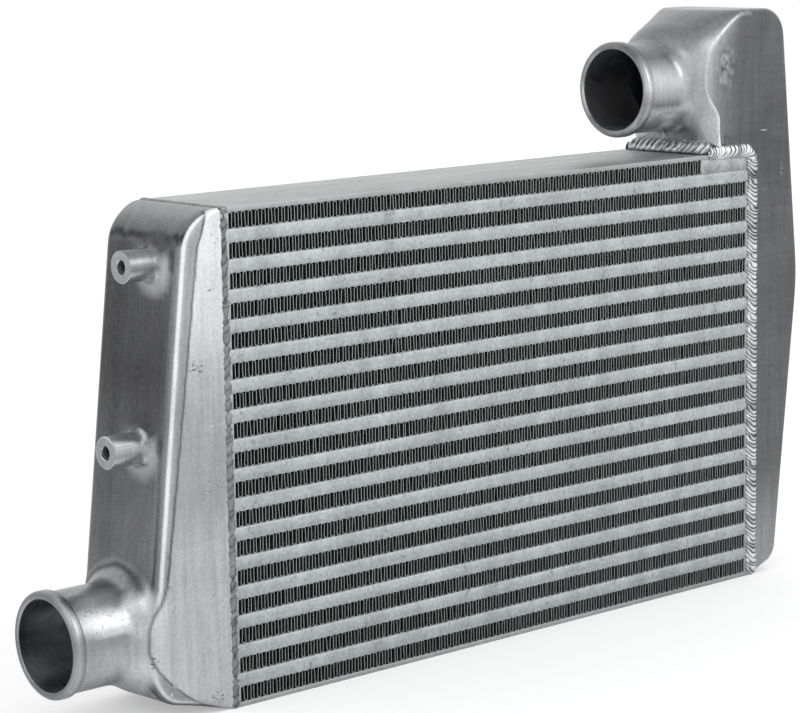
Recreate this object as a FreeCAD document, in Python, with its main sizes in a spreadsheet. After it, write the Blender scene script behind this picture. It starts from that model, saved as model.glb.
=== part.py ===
import FreeCAD, Part
import math
import os
import Sketcher

# A bar-and-plate charge air cooler with a cast tank welded on each end of its core.
#
# Lengths are in millimetres and +Z is up. The origin is the middle of the core's underside, on which
# the cooler stands. The core runs along X, from the inlet tank at -X to the outlet tank at +X, and the
# cooling air passes through it along Y, from the front face at -Y. Charge air enters low on the inlet
# tank, crosses the core in the flat tubes and leaves high on the outlet tank, by a port that turns back
# over the core. Both ports point along -X.

VECTOR = FreeCAD.Vector

# The driving dimensions: the alias of each cell, its value and what it measures.
SIZES = [
    ("air_rows", 17, "rows of cooling fin, from top to bottom"),
    ("air_row_height", 9.4, "height of one row of cooling fin"),
    ("passage_height", 7.1, "height inside a charge tube, which is that of its long bars"),
    ("sheet_gauge", 0.5, "thickness of a parting sheet"),
    ("side_plate_gauge", 3.0, "thickness of the top and bottom plates"),
    ("fin_span", 446.0, "length of a full row of cooling fin"),
    ("end_bar_width", 6.0, "width of the bars that close the ends of a fin row"),
    ("long_bar_depth", 5.0, "depth of the bars that close the front and back of a tube"),
    ("core_depth", 76.0, "depth of the core and of both tanks"),
    ("corner_block_length", 51.0, "length of the solid block at the outlet end of the top row"),
    ("air_fin_gauge", 0.3, "thickness of the cooling fin"),
    ("air_fin_waves", 16, "waves in a full row of cooling fin"),
    ("charge_fin_gauge", 0.3, "thickness of the fin inside a charge tube"),
    ("charge_fin_waves", 4, "waves of the fin inside a charge tube"),
    ("tank_wall", 3.0, "wall of both castings"),
    ("seam_edge_round", 2.5, "rounding of a tank's long edges where they meet the core"),
    ("port_outside", 60.0, "outside diameter of both ports"),
    ("port_bore", 54.0, "bore of both ports"),
    ("port_bead", 63.4, "diameter of the hose bead at a port's mouth"),
    ("port_bead_width", 6.6, "width of the hose bead"),
    ("port_nose", 2.0, "length of the bead's taper towards the mouth"),
    ("port_nose_drop", 1.5, "how far that taper comes in"),
    ("port_heel", 1.0, "bevel at the bead's inner end"),
    ("inlet_top_reach", 25.7, "how far the inlet tank stands out from the core at its top"),
    ("inlet_foot_reach", 59.3, "how far the inlet tank stands out at its foot"),
    ("inlet_foot_rise", 14.1, "how far the inlet tank's floor climbs on its way out"),
    ("inlet_top_round", 25.5, "radius of the inlet tank's top corner"),
    ("inlet_foot_round", 25.0, "radius of the inlet tank's foot corner"),
    ("inlet_edge_round", 8.0, "rounding along the edges of the inlet tank's end face"),
    ("inlet_port_height", 51.2, "height of the inlet port's axis"),
    ("inlet_port_length", 50.0, "length of the inlet port from the tank's end face to its mouth"),
    ("inlet_root_sink", 2.9, "how far inside the end face the port's root is widest"),
    ("inlet_root_flare", 16.0, "length of the flare at the port's root"),
    ("inlet_root_inset", 0.4, "how far the port's root lies inside the tank's front and back"),
    ("boss_setback", 13.0, "how far the two bosses lie in front of the tank's middle"),
    ("boss_outside", 19.0, "outside diameter of a boss"),
    ("boss_foot", 28.0, "diameter of a boss at its foot"),
    ("boss_foot_flare", 5.0, "length of the flare at a boss's foot"),
    ("boss_drill", 6.8, "drilled diameter for the M8 thread in a boss"),
    ("boss_drill_depth", 20.0, "depth of that hole"),
    ("boss_mouth", 9.0, "diameter of the countersink at the hole's mouth"),
    ("upper_boss_drop", 30.9, "distance from the core's top down to the upper boss's axis"),
    ("boss_spacing", 105.0, "distance between the two bosses' axes"),
    ("upper_boss_length", 23.6, "length of the upper boss outside the tank's end face"),
    ("lower_boss_length", 26.1, "length of the lower boss outside the tank's end face"),
    ("outlet_foot_reach", 26.2, "how far the outlet tank stands out from the core at its foot"),
    ("outlet_foot_rise", 8.8, "how far the outlet tank's floor climbs on its way out"),
    ("outlet_knee_reach", 49.2, "how far the outlet tank stands out at its knee"),
    ("outlet_knee_height", 205.0, "height of the knee"),
    ("outlet_head_reach", 32.2, "how far the outlet tank stands out at its top"),
    ("outlet_foot_round", 14.0, "radius of the outlet tank's foot corner"),
    ("outlet_knee_round", 150.0, "radius of the knee"),
    ("outlet_head_round", 20.0, "radius of the outlet tank's top corner"),
    ("outlet_edge_round", 3.0, "rounding along the outlet tank's long edges"),
    ("hood_height", 95.2, "height of the outlet tank's hood above the core"),
    ("hood_face_overhang", 39.0, "how far the hood's face stands in over the core, at its foot"),
    ("hood_face_lean", 36.0, "how far that face leans out over the core from foot to top"),
    ("hood_brow_drop", 18.0, "height of the sloping brow between that face and the hood's flat top"),
    ("hood_brow_length", 26.0, "length of the brow along the core"),
    ("hood_dome_reach", 77.5, "radius of the hood's dome, round an axis across the cooler"),
    ("hood_dome_centre", 4.0, "distance of that axis outside the core's end"),
    ("hood_dome_excess", 1.6, "how far the dome's round would pass the hood's flat front"),
    ("outlet_port_drop", 2.8, "distance from the hood's middle down to the outlet port's axis"),
    ("outlet_port_length", 56.9, "length of the outlet port from the hood's face to its mouth"),
    ("inlet_weld_width", 6.5, "width of the inlet tank's weld"),
    ("inlet_weld_lap", 1.0, "how far the inlet tank's weld laps on to the tank"),
    ("inlet_weld_proud", 0.8, "height of the inlet tank's weld"),
    ("outlet_weld_width", 12.4, "width of the outlet tank's weld"),
    ("outlet_weld_lap", 6.6, "how far the outlet tank's weld laps on to the tank"),
    ("outlet_weld_proud", 2.0, "height of the outlet tank's weld"),
    ("plate_weld_width", 8.0, "width of the weld between the hood's sides and the top plate"),
    ("hood_weld_leg", 8.0, "leg of the weld at the foot of the hood's face"),
]

# Places that follow from the driving dimensions.
PLACES = [
    ("half_core", "Size.fin_span / 2 + Size.end_bar_width"),
    ("half_depth", "Size.core_depth / 2"),
    ("tube_height", "Size.passage_height + 2 * Size.sheet_gauge"),
    ("tube_inside", "Size.core_depth - 2 * Size.long_bar_depth"),
    ("row_pitch", "Size.air_row_height + tube_height"),
    ("core_height", "2 * Size.side_plate_gauge + Size.air_rows * row_pitch - tube_height"),
    ("cooler_height", "core_height + Size.hood_height"),
    ("port_radius", "Size.port_outside / 2"),
    ("port_root_radius", "half_depth - Size.inlet_root_inset"),
    ("inlet_lean", "(Size.inlet_foot_reach - Size.inlet_top_reach) / (core_height - Size.inlet_foot_rise)"),
    ("inlet_foot_end", "half_core + Size.inlet_foot_reach + inlet_lean * Size.inlet_foot_rise"),
    ("inlet_port_face", "inlet_foot_end - inlet_lean * Size.inlet_port_height"),
    ("inlet_root", "inlet_port_face - Size.inlet_root_sink"),
    ("upper_boss_height", "core_height - Size.upper_boss_drop"),
    ("lower_boss_height", "upper_boss_height - Size.boss_spacing"),
    ("upper_boss_foot", "inlet_foot_end - inlet_lean * upper_boss_height"),
    ("lower_boss_foot", "inlet_foot_end - inlet_lean * lower_boss_height"),
    ("hood_middle", "core_height + Size.hood_height / 2"),
    ("hood_face", "half_core - Size.hood_face_overhang"),
    ("outlet_port_height", "hood_middle - Size.outlet_port_drop"),
    ("outlet_mouth", "hood_face - Size.outlet_port_length"),
    ("dome_round", "half_depth + Size.hood_dome_excess"),
    ("dome_centre", "half_core + Size.hood_dome_centre"),
]

doc = FreeCAD.newDocument("ChargeAirCooler")


def fill_sheets():
    """Write both sheets: plain numbers in the first, sums on them in the second."""
    size = doc.addObject("Spreadsheet::Sheet", "Size")
    for row, (alias, number, meaning) in enumerate(SIZES, start=1):
        size.set(f"A{row}", alias)
        size.set(f"B{row}", str(number))
        size.set(f"C{row}", meaning)
        size.setAlias(f"B{row}", alias)
    place = doc.addObject("Spreadsheet::Sheet", "Place")
    for row, (alias, formula) in enumerate(PLACES, start=1):
        place.set(f"A{row}", alias)
        place.set(f"B{row}", "=" + formula)
        place.setAlias(f"B{row}", alias)
    doc.recompute()
    return place


place_sheet = fill_sheets()


def value(formula):
    """The number that a formula on the two sheets gives now."""
    return float(place_sheet.evalExpression(formula))


def bind(thing, **formulas):
    """Tie properties of an object to formulas on the sheets."""
    for name, formula in formulas.items():
        thing.setExpression(name, formula)


def put_at(thing, x="0", y="0", z="0"):
    """Tie an object's position to formulas on the sheets."""
    thing.setExpression("Placement.Base.x", x)
    thing.setExpression("Placement.Base.y", y)
    thing.setExpression("Placement.Base.z", z)


# Plain solids and their sums.

def box(name, x, y, z, length, width, height):
    thing = doc.addObject("Part::Box", name)
    bind(thing, Length=length, Width=width, Height=height)
    put_at(thing, x, y, z)
    return thing


def port_cylinder(name, radius, start, length, height):
    """A cylinder along +X from a start, at a height."""
    thing = doc.addObject("Part::Cylinder", name)
    thing.Placement.Rotation = FreeCAD.Rotation(VECTOR(0, 1, 0), 90)
    bind(thing, Radius=radius, Height=length)
    put_at(thing, start, "0", height)
    return thing


def cut(name, base, tool):
    thing = doc.addObject("Part::Cut", name)
    thing.Base = base
    thing.Tool = tool
    return thing


def fuse(name, pieces):
    thing = doc.addObject("Part::MultiFuse", name)
    thing.Shapes = pieces
    thing.Refine = True
    return thing


def group(name, pieces):
    thing = doc.addObject("Part::Compound", name)
    thing.Links = pieces
    return thing


# Sketched solids.

def new_body(name):
    return doc.addObject("PartDesign::Body", name)


def origin_plane(body, role):
    for feature in body.Origin.OriginFeatures:
        if feature.Role == role:
            return feature
    raise RuntimeError(f"{body.Name} has no {role}")


def arc_between(start, end, radius):
    """The arc of a radius from start to end with its centre on the left, so that it turns left.

    A negative radius puts the centre on the right, and the arc then runs from end to start.
    """
    chord = end - start
    middle = (start + end) * 0.5
    left = VECTOR(-chord.y, chord.x, 0)
    left.normalize()
    reach = math.sqrt(max(radius ** 2 - (chord.Length / 2) ** 2, 0.0))
    centre = middle + left * (reach if radius > 0 else -reach)
    first, last = (start, end) if radius > 0 else (end, start)
    first_angle = math.atan2(first.y - centre.y, first.x - centre.x)
    last_angle = math.atan2(last.y - centre.y, last.x - centre.x)
    circle = Part.Circle(centre, VECTOR(0, 0, 1), abs(radius))
    return Part.ArcOfCircle(circle, first_angle, last_angle)


def outline(body, name, role, points):
    """A closed outline on one of a body's origin planes, every corner tied to the sheets.

    A point is (across, up), or (across, up, radius) where the edge that leaves it is an arc, which
    turns left where the radius is positive.
    """
    sketch = body.newObject("Sketcher::SketchObject", name)
    sketch.AttachmentSupport = [(origin_plane(body, role), "")]
    sketch.MapMode = "FlatFace"
    corners = [VECTOR(value(point[0]), value(point[1]), 0) for point in points]
    starts = []
    ends = []
    for index, point in enumerate(points):
        here = corners[index]
        there = corners[(index + 1) % len(points)]
        if len(point) == 2:
            sketch.addGeometry(Part.LineSegment(here, there), False)
            turns_left = True
        else:
            radius = value(point[2])
            sketch.addGeometry(arc_between(here, there, radius), False)
            turns_left = radius > 0
        starts.append(1 if turns_left else 2)
        ends.append(2 if turns_left else 1)
    for index, point in enumerate(points):
        following = (index + 1) % len(points)
        joint = Sketcher.Constraint("Coincident", index, ends[index], following, starts[following])
        sketch.addConstraint(joint)
        here = corners[index]
        across = sketch.addConstraint(Sketcher.Constraint("DistanceX", index, starts[index], here.x))
        sketch.renameConstraint(across, f"across_{index}")
        sketch.setExpression(f"Constraints.across_{index}", point[0])
        up = sketch.addConstraint(Sketcher.Constraint("DistanceY", index, starts[index], here.y))
        sketch.renameConstraint(up, f"up_{index}")
        sketch.setExpression(f"Constraints.up_{index}", point[1])
        if len(point) == 3:
            size = abs(value(point[2]))
            radius = sketch.addConstraint(Sketcher.Constraint("Radius", index, size))
            sketch.renameConstraint(radius, f"round_{index}")
            sketch.setExpression(f"Constraints.round_{index}", f"abs({point[2]})")
    return sketch


def pad_both_ways(body, sketch, length):
    """Pad an outline by half of a length to each side of its plane."""
    pad = body.newObject("PartDesign::Pad", sketch.Name + "_pad")
    pad.Profile = sketch
    pad.SideType = "Symmetric"
    bind(pad, Length=length)
    doc.recompute()
    return pad


def turn(body, sketch, axis="H_Axis"):
    """Turn a half outline about its own horizontal or vertical axis."""
    revolution = body.newObject("PartDesign::Revolution", sketch.Name + "_turned")
    revolution.Profile = sketch
    revolution.ReferenceAxis = (sketch, [axis])
    revolution.Angle = 360
    doc.recompute()
    return revolution


def round_corner(body, feature, name, x, z, radius):
    """Round the edge that runs along Y through a corner of a padded outline."""
    corner_x = value(x)
    corner_z = value(z)
    names = []
    for index, edge in enumerate(feature.Shape.Edges, start=1):
        at_corner = [
            math.hypot(vertex.X - corner_x, vertex.Z - corner_z) < 0.01 for vertex in edge.Vertexes
        ]
        if len(at_corner) == 2 and all(at_corner):
            names.append(f"Edge{index}")
    if len(names) != 1:
        raise RuntimeError(f"{name}: found {len(names)} edges")
    fillet = body.newObject("PartDesign::Fillet", name)
    fillet.Base = (feature, names)
    bind(fillet, Radius=radius)
    doc.recompute()
    return fillet


def round_rims(name, base, radius_at, spared):
    """Round the edges of a padded outline's two flat sides, by a radius that may change on the way.

    radius_at gives the radius at a point, and spared says which edges stay square.
    """
    side = value("Place.half_depth")
    rims = []
    for index, edge in enumerate(base.Shape.Edges, start=1):
        first = edge.valueAt(edge.FirstParameter)
        last = edge.valueAt(edge.LastParameter)
        on_side = abs(abs(first.y) - side) < 0.001 and abs(first.y - last.y) < 0.001
        if on_side and not spared(first, last):
            rims.append((index, radius_at(first), radius_at(last)))
    rounded = doc.addObject("Part::Fillet", name)
    rounded.Base = base
    rounded.Edges = rims
    doc.recompute()
    return rounded


# The core.

def row_floor(row):
    """Height of the underside of a row of cooling fin, counted from the top."""
    return f"(Size.side_plate_gauge + (Size.air_rows - {row}) * Place.row_pitch)"


def full_length_box(name, y, z, width, height):
    return box(name, "-Place.half_core", y, z, "2 * Place.half_core", width, height)


def side_plates():
    flat = ("-Place.half_depth", "Size.core_depth", "Size.side_plate_gauge")
    bottom = full_length_box("bottom_side_plate", flat[0], "0", flat[1], flat[2])
    top_height = "Place.core_height - Size.side_plate_gauge"
    top = full_length_box("top_side_plate", flat[0], top_height, flat[1], flat[2])
    return [bottom, top]


def charge_tube(number):
    """Two parting sheets and two long bars, brazed into one flat tube below a fin row."""
    floor = row_floor(number) + " - Place.tube_height"
    name = f"charge_tube_{number:02d}"
    outside = full_length_box(name + "_outside", "-Place.half_depth", floor, "Size.core_depth",
                              "Place.tube_height")
    inside = full_length_box(name + "_inside", "-Place.tube_inside / 2", floor + " + Size.sheet_gauge",
                             "Place.tube_inside", "Size.passage_height")
    return cut(name, outside, inside)


def corrugated_strip(length, height, gauge, waves):
    """The section of a folded strip, as a face in X and Z: straight flanks between its crests.

    The strip's upright thickness is its gauge divided by the cosine of a flank's slope.
    """
    step = length / (2 * waves)
    upright = gauge * math.hypot(step, height) / step
    floor = [VECTOR(index * step, 0, (height - upright) * (index % 2)) for index in range(2 * waves + 1)]
    roof = [point + VECTOR(0, 0, upright) for point in reversed(floor)]
    return Part.Face(Part.makePolygon(floor + roof + floor[:1]))


def strip_profile(name, length, height, gauge, waves):
    profile = doc.addObject("Part::Feature", name)
    profile.Shape = corrugated_strip(value(length), value(height), value(gauge), round(value(waves)))
    return profile


def fold_along(name, profile, direction, length):
    strip = doc.addObject("Part::Extrusion", name)
    strip.Base = profile
    strip.DirMode = "Custom"
    strip.Dir = direction
    strip.Solid = True
    bind(strip, LengthFwd=length)
    return strip


def air_fins():
    """One folded strip for each row. The top one stops short at the corner block."""
    full = strip_profile("full_air_fin", "Size.fin_span", "Size.air_row_height", "Size.air_fin_gauge",
                         "Size.air_fin_waves")
    short_span = "Size.fin_span + Size.end_bar_width - Size.corner_block_length"
    short_waves = f"Size.air_fin_waves * ({short_span}) / Size.fin_span"
    short = strip_profile("short_air_fin", short_span, "Size.air_row_height", "Size.air_fin_gauge",
                          short_waves)
    fins = []
    for row in range(1, round(value("Size.air_rows")) + 1):
        profile = short if row == 1 else full
        fin = fold_along(f"air_fin_{row:02d}", profile, VECTOR(0, 1, 0), "Size.core_depth")
        put_at(fin, "-Size.fin_span / 2", "-Place.half_depth", row_floor(row))
        fins.append(fin)
    return fins


def charge_fins():
    """One folded strip in each tube, its waves across the tube and open along it."""
    profile = strip_profile("charge_fin", "Place.tube_inside", "Size.passage_height",
                            "Size.charge_fin_gauge", "Size.charge_fin_waves")
    fins = []
    for row in range(1, round(value("Size.air_rows"))):
        fin = fold_along(f"charge_fin_{row:02d}", profile, VECTOR(0, 1, 0), "Size.fin_span")
        fin.Placement.Rotation = FreeCAD.Rotation(VECTOR(0, 0, 1), -90)
        floor = row_floor(row) + " - Place.tube_height + Size.sheet_gauge"
        put_at(fin, "-Size.fin_span / 2", "Place.tube_inside / 2", floor)
        fins.append(fin)
    return fins


def end_bars(name, x, first_row):
    """The bars that close one end of the fin rows, each its own solid in one group."""
    bars = []
    for row in range(first_row, round(value("Size.air_rows")) + 1):
        bar = box(f"{name}_{row:02d}", x, "-Place.half_depth", row_floor(row), "Size.end_bar_width",
                  "Size.core_depth", "Size.air_row_height")
        bars.append(bar)
    return group(name, bars)


def corner_block():
    start = "Place.half_core - Size.corner_block_length"
    return box("corner_block", start, "-Place.half_depth", row_floor(1), "Size.corner_block_length",
               "Size.core_depth", "Size.air_row_height")


# The ports and bosses.

def port_points(mouth, inner_end, tail):
    """Half the outline of a port, from its mouth along +X: a bead with a tapered nose, then a tail.

    Across is X and up is the distance from the port's axis.
    """
    bead = "Size.port_bead / 2"
    bead_end = f"{mouth} + Size.port_bead_width"
    points = [
        (inner_end, "0"),
        *tail,
        (bead_end, "Place.port_radius"),
        (bead_end, f"{bead} - Size.port_heel"),
        (f"{bead_end} - Size.port_heel", bead),
        (f"{mouth} + Size.port_nose", bead),
        (mouth, f"{bead} - Size.port_nose_drop"),
        (mouth, "0"),
    ]
    return points


# Shares of the flare's length at which its arc is stepped, from the root outwards.
FLARE_STEPS = (0.72, 0.4)


def inlet_port():
    """The inlet port with its root flared along an arc in straight steps, solid."""
    body = new_body("inlet_port_blank")
    root = "-Place.inlet_root"
    inside = "-(Place.inlet_root + Place.half_core) / 2"
    rise = "(Place.port_root_radius - Place.port_radius)"
    flare = f"((Size.inlet_root_flare ^ 2 + {rise} ^ 2) / (2 * {rise}))"
    tail = [(inside, "Place.port_root_radius"), (root, "Place.port_root_radius")]
    for part in FLARE_STEPS:
        along = f"({part} * Size.inlet_root_flare)"
        swell = f"{flare} - sqrt({flare} ^ 2 - {along} ^ 2)"
        tail.append((f"{root} - Size.inlet_root_flare + {along}", f"Place.port_radius + {swell}"))
    tail.append((f"{root} - Size.inlet_root_flare", "Place.port_radius"))
    mouth = "-Place.inlet_port_face - Size.inlet_port_length"
    sketch = outline(body, "inlet_port_outline", "XZ_Plane", port_points(mouth, inside, tail))
    sketch.setExpression("AttachmentOffset.Base.y", "Size.inlet_port_height")
    turn(body, sketch)
    return body


def outlet_port():
    """The outlet port, solid, running into the hood."""
    body = new_body("outlet_port_blank")
    tail = [("Place.hood_face", "Place.port_radius")]
    points = port_points("Place.outlet_mouth", "Place.hood_face", tail)
    sketch = outline(body, "outlet_port_outline", "XZ_Plane", points)
    sketch.setExpression("AttachmentOffset.Base.y", "Place.outlet_port_height")
    turn(body, sketch)
    return body


def boss_axis(sketch, which):
    """Put a boss's outline on the boss's axis, which is its own horizontal axis."""
    sketch.setExpression("AttachmentOffset.Base.y", f"Place.{which}_boss_height")
    sketch.setExpression("AttachmentOffset.Base.z", "Size.boss_setback")


def boss(which):
    """A round boss with a spreading foot, solid, let into the tank's wall."""
    body = new_body(f"{which}_boss")
    foot = f"-Place.{which}_boss_foot"
    face = f"{foot} - Size.{which}_boss_length"
    inside = f"{foot} + Size.tank_wall"
    outside = "Size.boss_outside / 2"
    points = [
        (inside, "0"),
        (inside, "Size.boss_foot / 2"),
        (foot, "Size.boss_foot / 2"),
        (f"{foot} - Size.boss_foot_flare", outside),
        (face, outside),
        (face, "0"),
    ]
    sketch = outline(body, f"{which}_boss_outline", "XZ_Plane", points)
    boss_axis(sketch, which)
    turn(body, sketch)
    return body


def boss_hole(which):
    """The drilling for a boss's thread, with a cone at its end and a countersunk mouth."""
    body = new_body(f"{which}_boss_hole")
    face = f"-Place.{which}_boss_foot - Size.{which}_boss_length"
    drill = "Size.boss_drill / 2"
    mouth = "Size.boss_mouth / 2"
    end = f"{face} + Size.boss_drill_depth"
    points = [
        (f"{end} + {drill} / 2", "0"),
        (end, drill),
        (f"{face} + {mouth} - {drill}", drill),
        (face, mouth),
        (face, "0"),
    ]
    sketch = outline(body, f"{which}_boss_drilling", "XZ_Plane", points)
    boss_axis(sketch, which)
    turn(body, sketch)
    return body


# The inlet tank.

def inlet_shape(name, inset):
    """The inlet tank's padded outline with its corners rounded, drawn in by an inset all round."""
    body = new_body(name)
    seam = "-Place.half_core"
    low = (f"-Place.half_core - Size.inlet_foot_reach + {inset}", f"Size.inlet_foot_rise + {inset}")
    high = (f"-Place.half_core - Size.inlet_top_reach + {inset}", f"Place.core_height - {inset}")
    points = [(seam, inset), low, high, (seam, f"Place.core_height - {inset}")]
    sketch = outline(body, name + "_outline", "XZ_Plane", points)
    pad = pad_both_ways(body, sketch, f"Size.core_depth - 2 * {inset}")
    top = round_corner(body, pad, name + "_top", high[0], high[1], f"Size.inlet_top_round - {inset}")
    foot = round_corner(body, top, name + "_foot", low[0], low[1], f"Size.inlet_foot_round - {inset}")
    body.Tip = foot
    return body


def inlet_tank():
    """The inlet casting: a shell open to the core, with its port and two tapped bosses."""
    blank = inlet_shape("inlet_blank", "0")
    seam = -value("Place.half_core")
    seam_round = value("Size.seam_edge_round")
    edge_round = value("Size.inlet_edge_round")

    def radius_at(point):
        return seam_round if point.x > seam - 0.01 else edge_round

    def at_seam(first, last):
        return first.x > seam - 0.01 and last.x > seam - 0.01

    skin = round_rims("inlet_skin", blank, radius_at, at_seam)
    outside = fuse("inlet_outside", [
        skin,
        inlet_port(),
        boss("upper"),
        boss("lower"),
    ])
    hollow = inlet_shape("inlet_hollow", "Size.tank_wall")
    mouth = "-Place.inlet_port_face - Size.inlet_port_length"
    length = "Size.inlet_port_length + (Place.inlet_port_face - Place.half_core) / 2"
    bore = port_cylinder("inlet_bore", "Size.port_bore / 2", mouth, length, "Size.inlet_port_height")
    inside = fuse("inlet_inside", [
        hollow,
        bore,
        boss_hole("upper"),
        boss_hole("lower"),
    ])
    return cut("inlet_tank", outside, inside)


# The outlet tank.

def outlet_shape(name, inset):
    """The outlet tank's padded outline with its corners rounded, drawn in by an inset all round."""
    body = new_body(name)
    seam = "Place.half_core"
    foot = (f"{seam} + Size.outlet_foot_reach - {inset}", f"Size.outlet_foot_rise + {inset}")
    knee = (f"{seam} + Size.outlet_knee_reach - {inset}", "Size.outlet_knee_height")
    head = (f"{seam} + Size.outlet_head_reach - {inset}", f"Place.cooler_height - {inset}")
    points = [(seam, inset), foot, knee, head, (seam, f"Place.cooler_height - {inset}")]
    if inset != "0":
        points += [
            (seam, f"Place.core_height + {inset}"),
            (f"{seam} + {inset}", f"Place.core_height + {inset}"),
            (f"{seam} + {inset}", f"Place.core_height - {inset}"),
            (seam, f"Place.core_height - {inset}"),
        ]
    sketch = outline(body, name + "_outline", "XZ_Plane", points)
    tip = pad_both_ways(body, sketch, f"Size.core_depth - 2 * {inset}")
    for corner, spot in (("foot", foot), ("knee", knee), ("head", head)):
        radius = f"Size.outlet_{corner}_round - {inset}"
        tip = round_corner(body, tip, f"{name}_{corner}", spot[0], spot[1], radius)
    body.Tip = tip
    return body


# Straight steps in the arc of the hood's dome.
DOME_STEPS = 8


def hood(name, inset, steps):
    """The hood over the core: a dome with flat front and back, cut by its floor, top and leaning face.

    The dome's round is turned from an arc in a number of straight steps.
    """
    dome = new_body(name + "_dome")
    depth = f"(Place.half_depth - {inset})"
    turned = f"(Place.dome_round - {inset})"
    points = [("0", f"-{depth}")]
    for step in range(steps + 1):
        angle = f"(asin({depth} / {turned}) * {2 * step / steps - 1})"
        across = f"Size.hood_dome_reach - Place.dome_round + {turned} * cos({angle})"
        points.append((across, f"{turned} * sin({angle})"))
    points.append(("0", depth))
    sketch = outline(dome, name + "_dome_outline", "XY_Plane", points)
    bind(sketch, **{"AttachmentOffset.Base.x": "Place.dome_centre",
                    "AttachmentOffset.Base.z": "Place.outlet_port_height"})
    turn(dome, sketch, "V_Axis")
    block = new_body(name + "_block")
    slope = "(Size.hood_face_lean / Size.hood_height)"
    aside = f"Place.hood_face + {inset} * sqrt(1 + {slope} ^ 2)"
    brow = f"{aside} - Size.hood_face_lean + {slope} * Size.hood_brow_drop"
    corners = [
        (f"{aside} - {inset} * {slope}", f"Place.core_height + {inset}"),
        ("Place.dome_centre", f"Place.core_height + {inset}"),
        ("Place.dome_centre", f"Place.cooler_height - {inset}"),
        (f"{brow} + Size.hood_brow_length", f"Place.cooler_height - {inset}"),
        (brow, f"Place.cooler_height - Size.hood_brow_drop"),
    ]
    sketch = outline(block, name + "_block_outline", "XZ_Plane", corners)
    pad_both_ways(block, sketch, f"Size.core_depth - 2 * {inset}")
    shared = doc.addObject("Part::Common", name)
    shared.Base = dome
    shared.Tool = block
    return shared


def outlet_tank():
    """The outlet casting: a shell open to the core, with a hood over it that ends in the port."""
    blank = outlet_shape("outlet_blank", "0")
    seam = value("Place.half_core")
    underside = value("Place.core_height")
    seam_round = value("Size.seam_edge_round")
    edge_round = value("Size.outlet_edge_round")

    def radius_at(point):
        return seam_round if point.x < seam + 0.01 and point.z < underside else edge_round

    def at_seam(first, last):
        return first.x < seam + 0.01 and last.x < seam + 0.01

    skin = round_rims("outlet_skin", blank, radius_at, at_seam)
    outside = fuse("outlet_outside", [skin, hood("outlet_hood", "0", DOME_STEPS), outlet_port()])
    hollow = outlet_shape("outlet_hollow", "Size.tank_wall")
    length = "Place.half_core - Place.outlet_mouth"
    bore = port_cylinder("outlet_bore", "Size.port_bore / 2", "Place.outlet_mouth", length,
                         "Place.outlet_port_height")
    hood_hollow = hood("hood_hollow", "Size.tank_wall", DOME_STEPS // 2)
    inside = fuse("outlet_inside", [hollow, hood_hollow, bore])
    return cut("outlet_tank", outside, inside)


# The welds.

def bead_body(name, across, proud):
    """A body that holds the section of a weld bead: a chord of a width and the arc above it."""
    body = new_body(name)
    half = f"({across}) / 2"
    radius = f"(({half}) ^ 2 + ({proud}) ^ 2) / (2 * ({proud}))"
    points = [(f"-({half})", "0"), (half, "0", radius)]
    sketch = outline(body, name + "_section", "XY_Plane", points)
    return body, sketch


def bead(name, across, proud, length):
    """A weld bead along +Z, its flat back on the XZ plane and its crown towards +Y."""
    body, sketch = bead_body(name, across, proud)
    pad = body.newObject("PartDesign::Pad", sketch.Name + "_pad")
    pad.Profile = sketch
    bind(pad, Length=length)
    return body


def seam_beads(name, x, width, proud):
    """The two upright beads of a tank's weld, on the core's front and back."""
    front = bead(name + "_front", width, proud, "Place.core_height")
    front.Placement.Rotation = FreeCAD.Rotation(VECTOR(0, 0, 1), 180)
    put_at(front, x, "-Place.half_depth", "0")
    back = bead(name + "_back", width, proud, "Place.core_height")
    put_at(back, x, "Place.half_depth", "0")
    return [front, back]


def inlet_weld():
    """The weld round the inlet tank: up the front, across the top and down the back."""
    across = "Size.inlet_weld_width"
    x = f"-Place.half_core - Size.inlet_weld_lap + {across} / 2"
    beads = seam_beads("inlet_weld", x, across, "Size.inlet_weld_proud")
    top = bead("inlet_weld_top", across, "Size.inlet_weld_proud", "Size.core_depth")
    top.Placement.Rotation = FreeCAD.Rotation(VECTOR(1, 0, 0), 90)
    put_at(top, x, "Place.half_depth", "Place.core_height")
    return group("inlet_weld", beads + [top])


def outlet_weld():
    """The weld up the outlet tank's front and back, and along the hood's foot on both sides."""
    across = "Size.outlet_weld_width"
    x = f"Place.half_core + Size.outlet_weld_lap - {across} / 2"
    beads = seam_beads("outlet_weld", x, across, "Size.outlet_weld_proud")
    inner_edge = f"{x} - {across} / 2"
    length = f"{inner_edge} - Place.hood_face"
    along_core = FreeCAD.Rotation(VECTOR(0, 1, 0), 90)
    for side, sign, facing in (("front", "-", 180), ("back", "", 0)):
        run = bead(f"plate_weld_{side}", "Size.plate_weld_width", "Size.outlet_weld_proud", length)
        run.Placement.Rotation = FreeCAD.Rotation(VECTOR(1, 0, 0), facing) * along_core
        put_at(run, "Place.hood_face", f"{sign}Place.half_depth", "Place.core_height")
        beads.append(run)
    return group("outlet_weld", beads)


def hood_weld(tank):
    """The fillet weld at the foot of the hood's face, shaped to the hood that it lies against."""
    body = new_body("hood_weld_blank")
    leg = "Size.hood_weld_leg"
    inner = "Place.hood_face + Size.tank_wall / 2"
    top = f"Place.hood_face - {leg} * Size.hood_face_lean / Size.hood_height"
    points = [
        (f"Place.hood_face - {leg}", "Place.core_height"),
        (inner, "Place.core_height"),
        (inner, f"Place.core_height + {leg}"),
        (top, f"Place.core_height + {leg}"),
    ]
    sketch = outline(body, "hood_weld_outline", "XZ_Plane", points)
    pad_both_ways(body, sketch, "Place.tube_inside")
    return cut("hood_weld", body, tank)


# Checking and writing.

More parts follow.
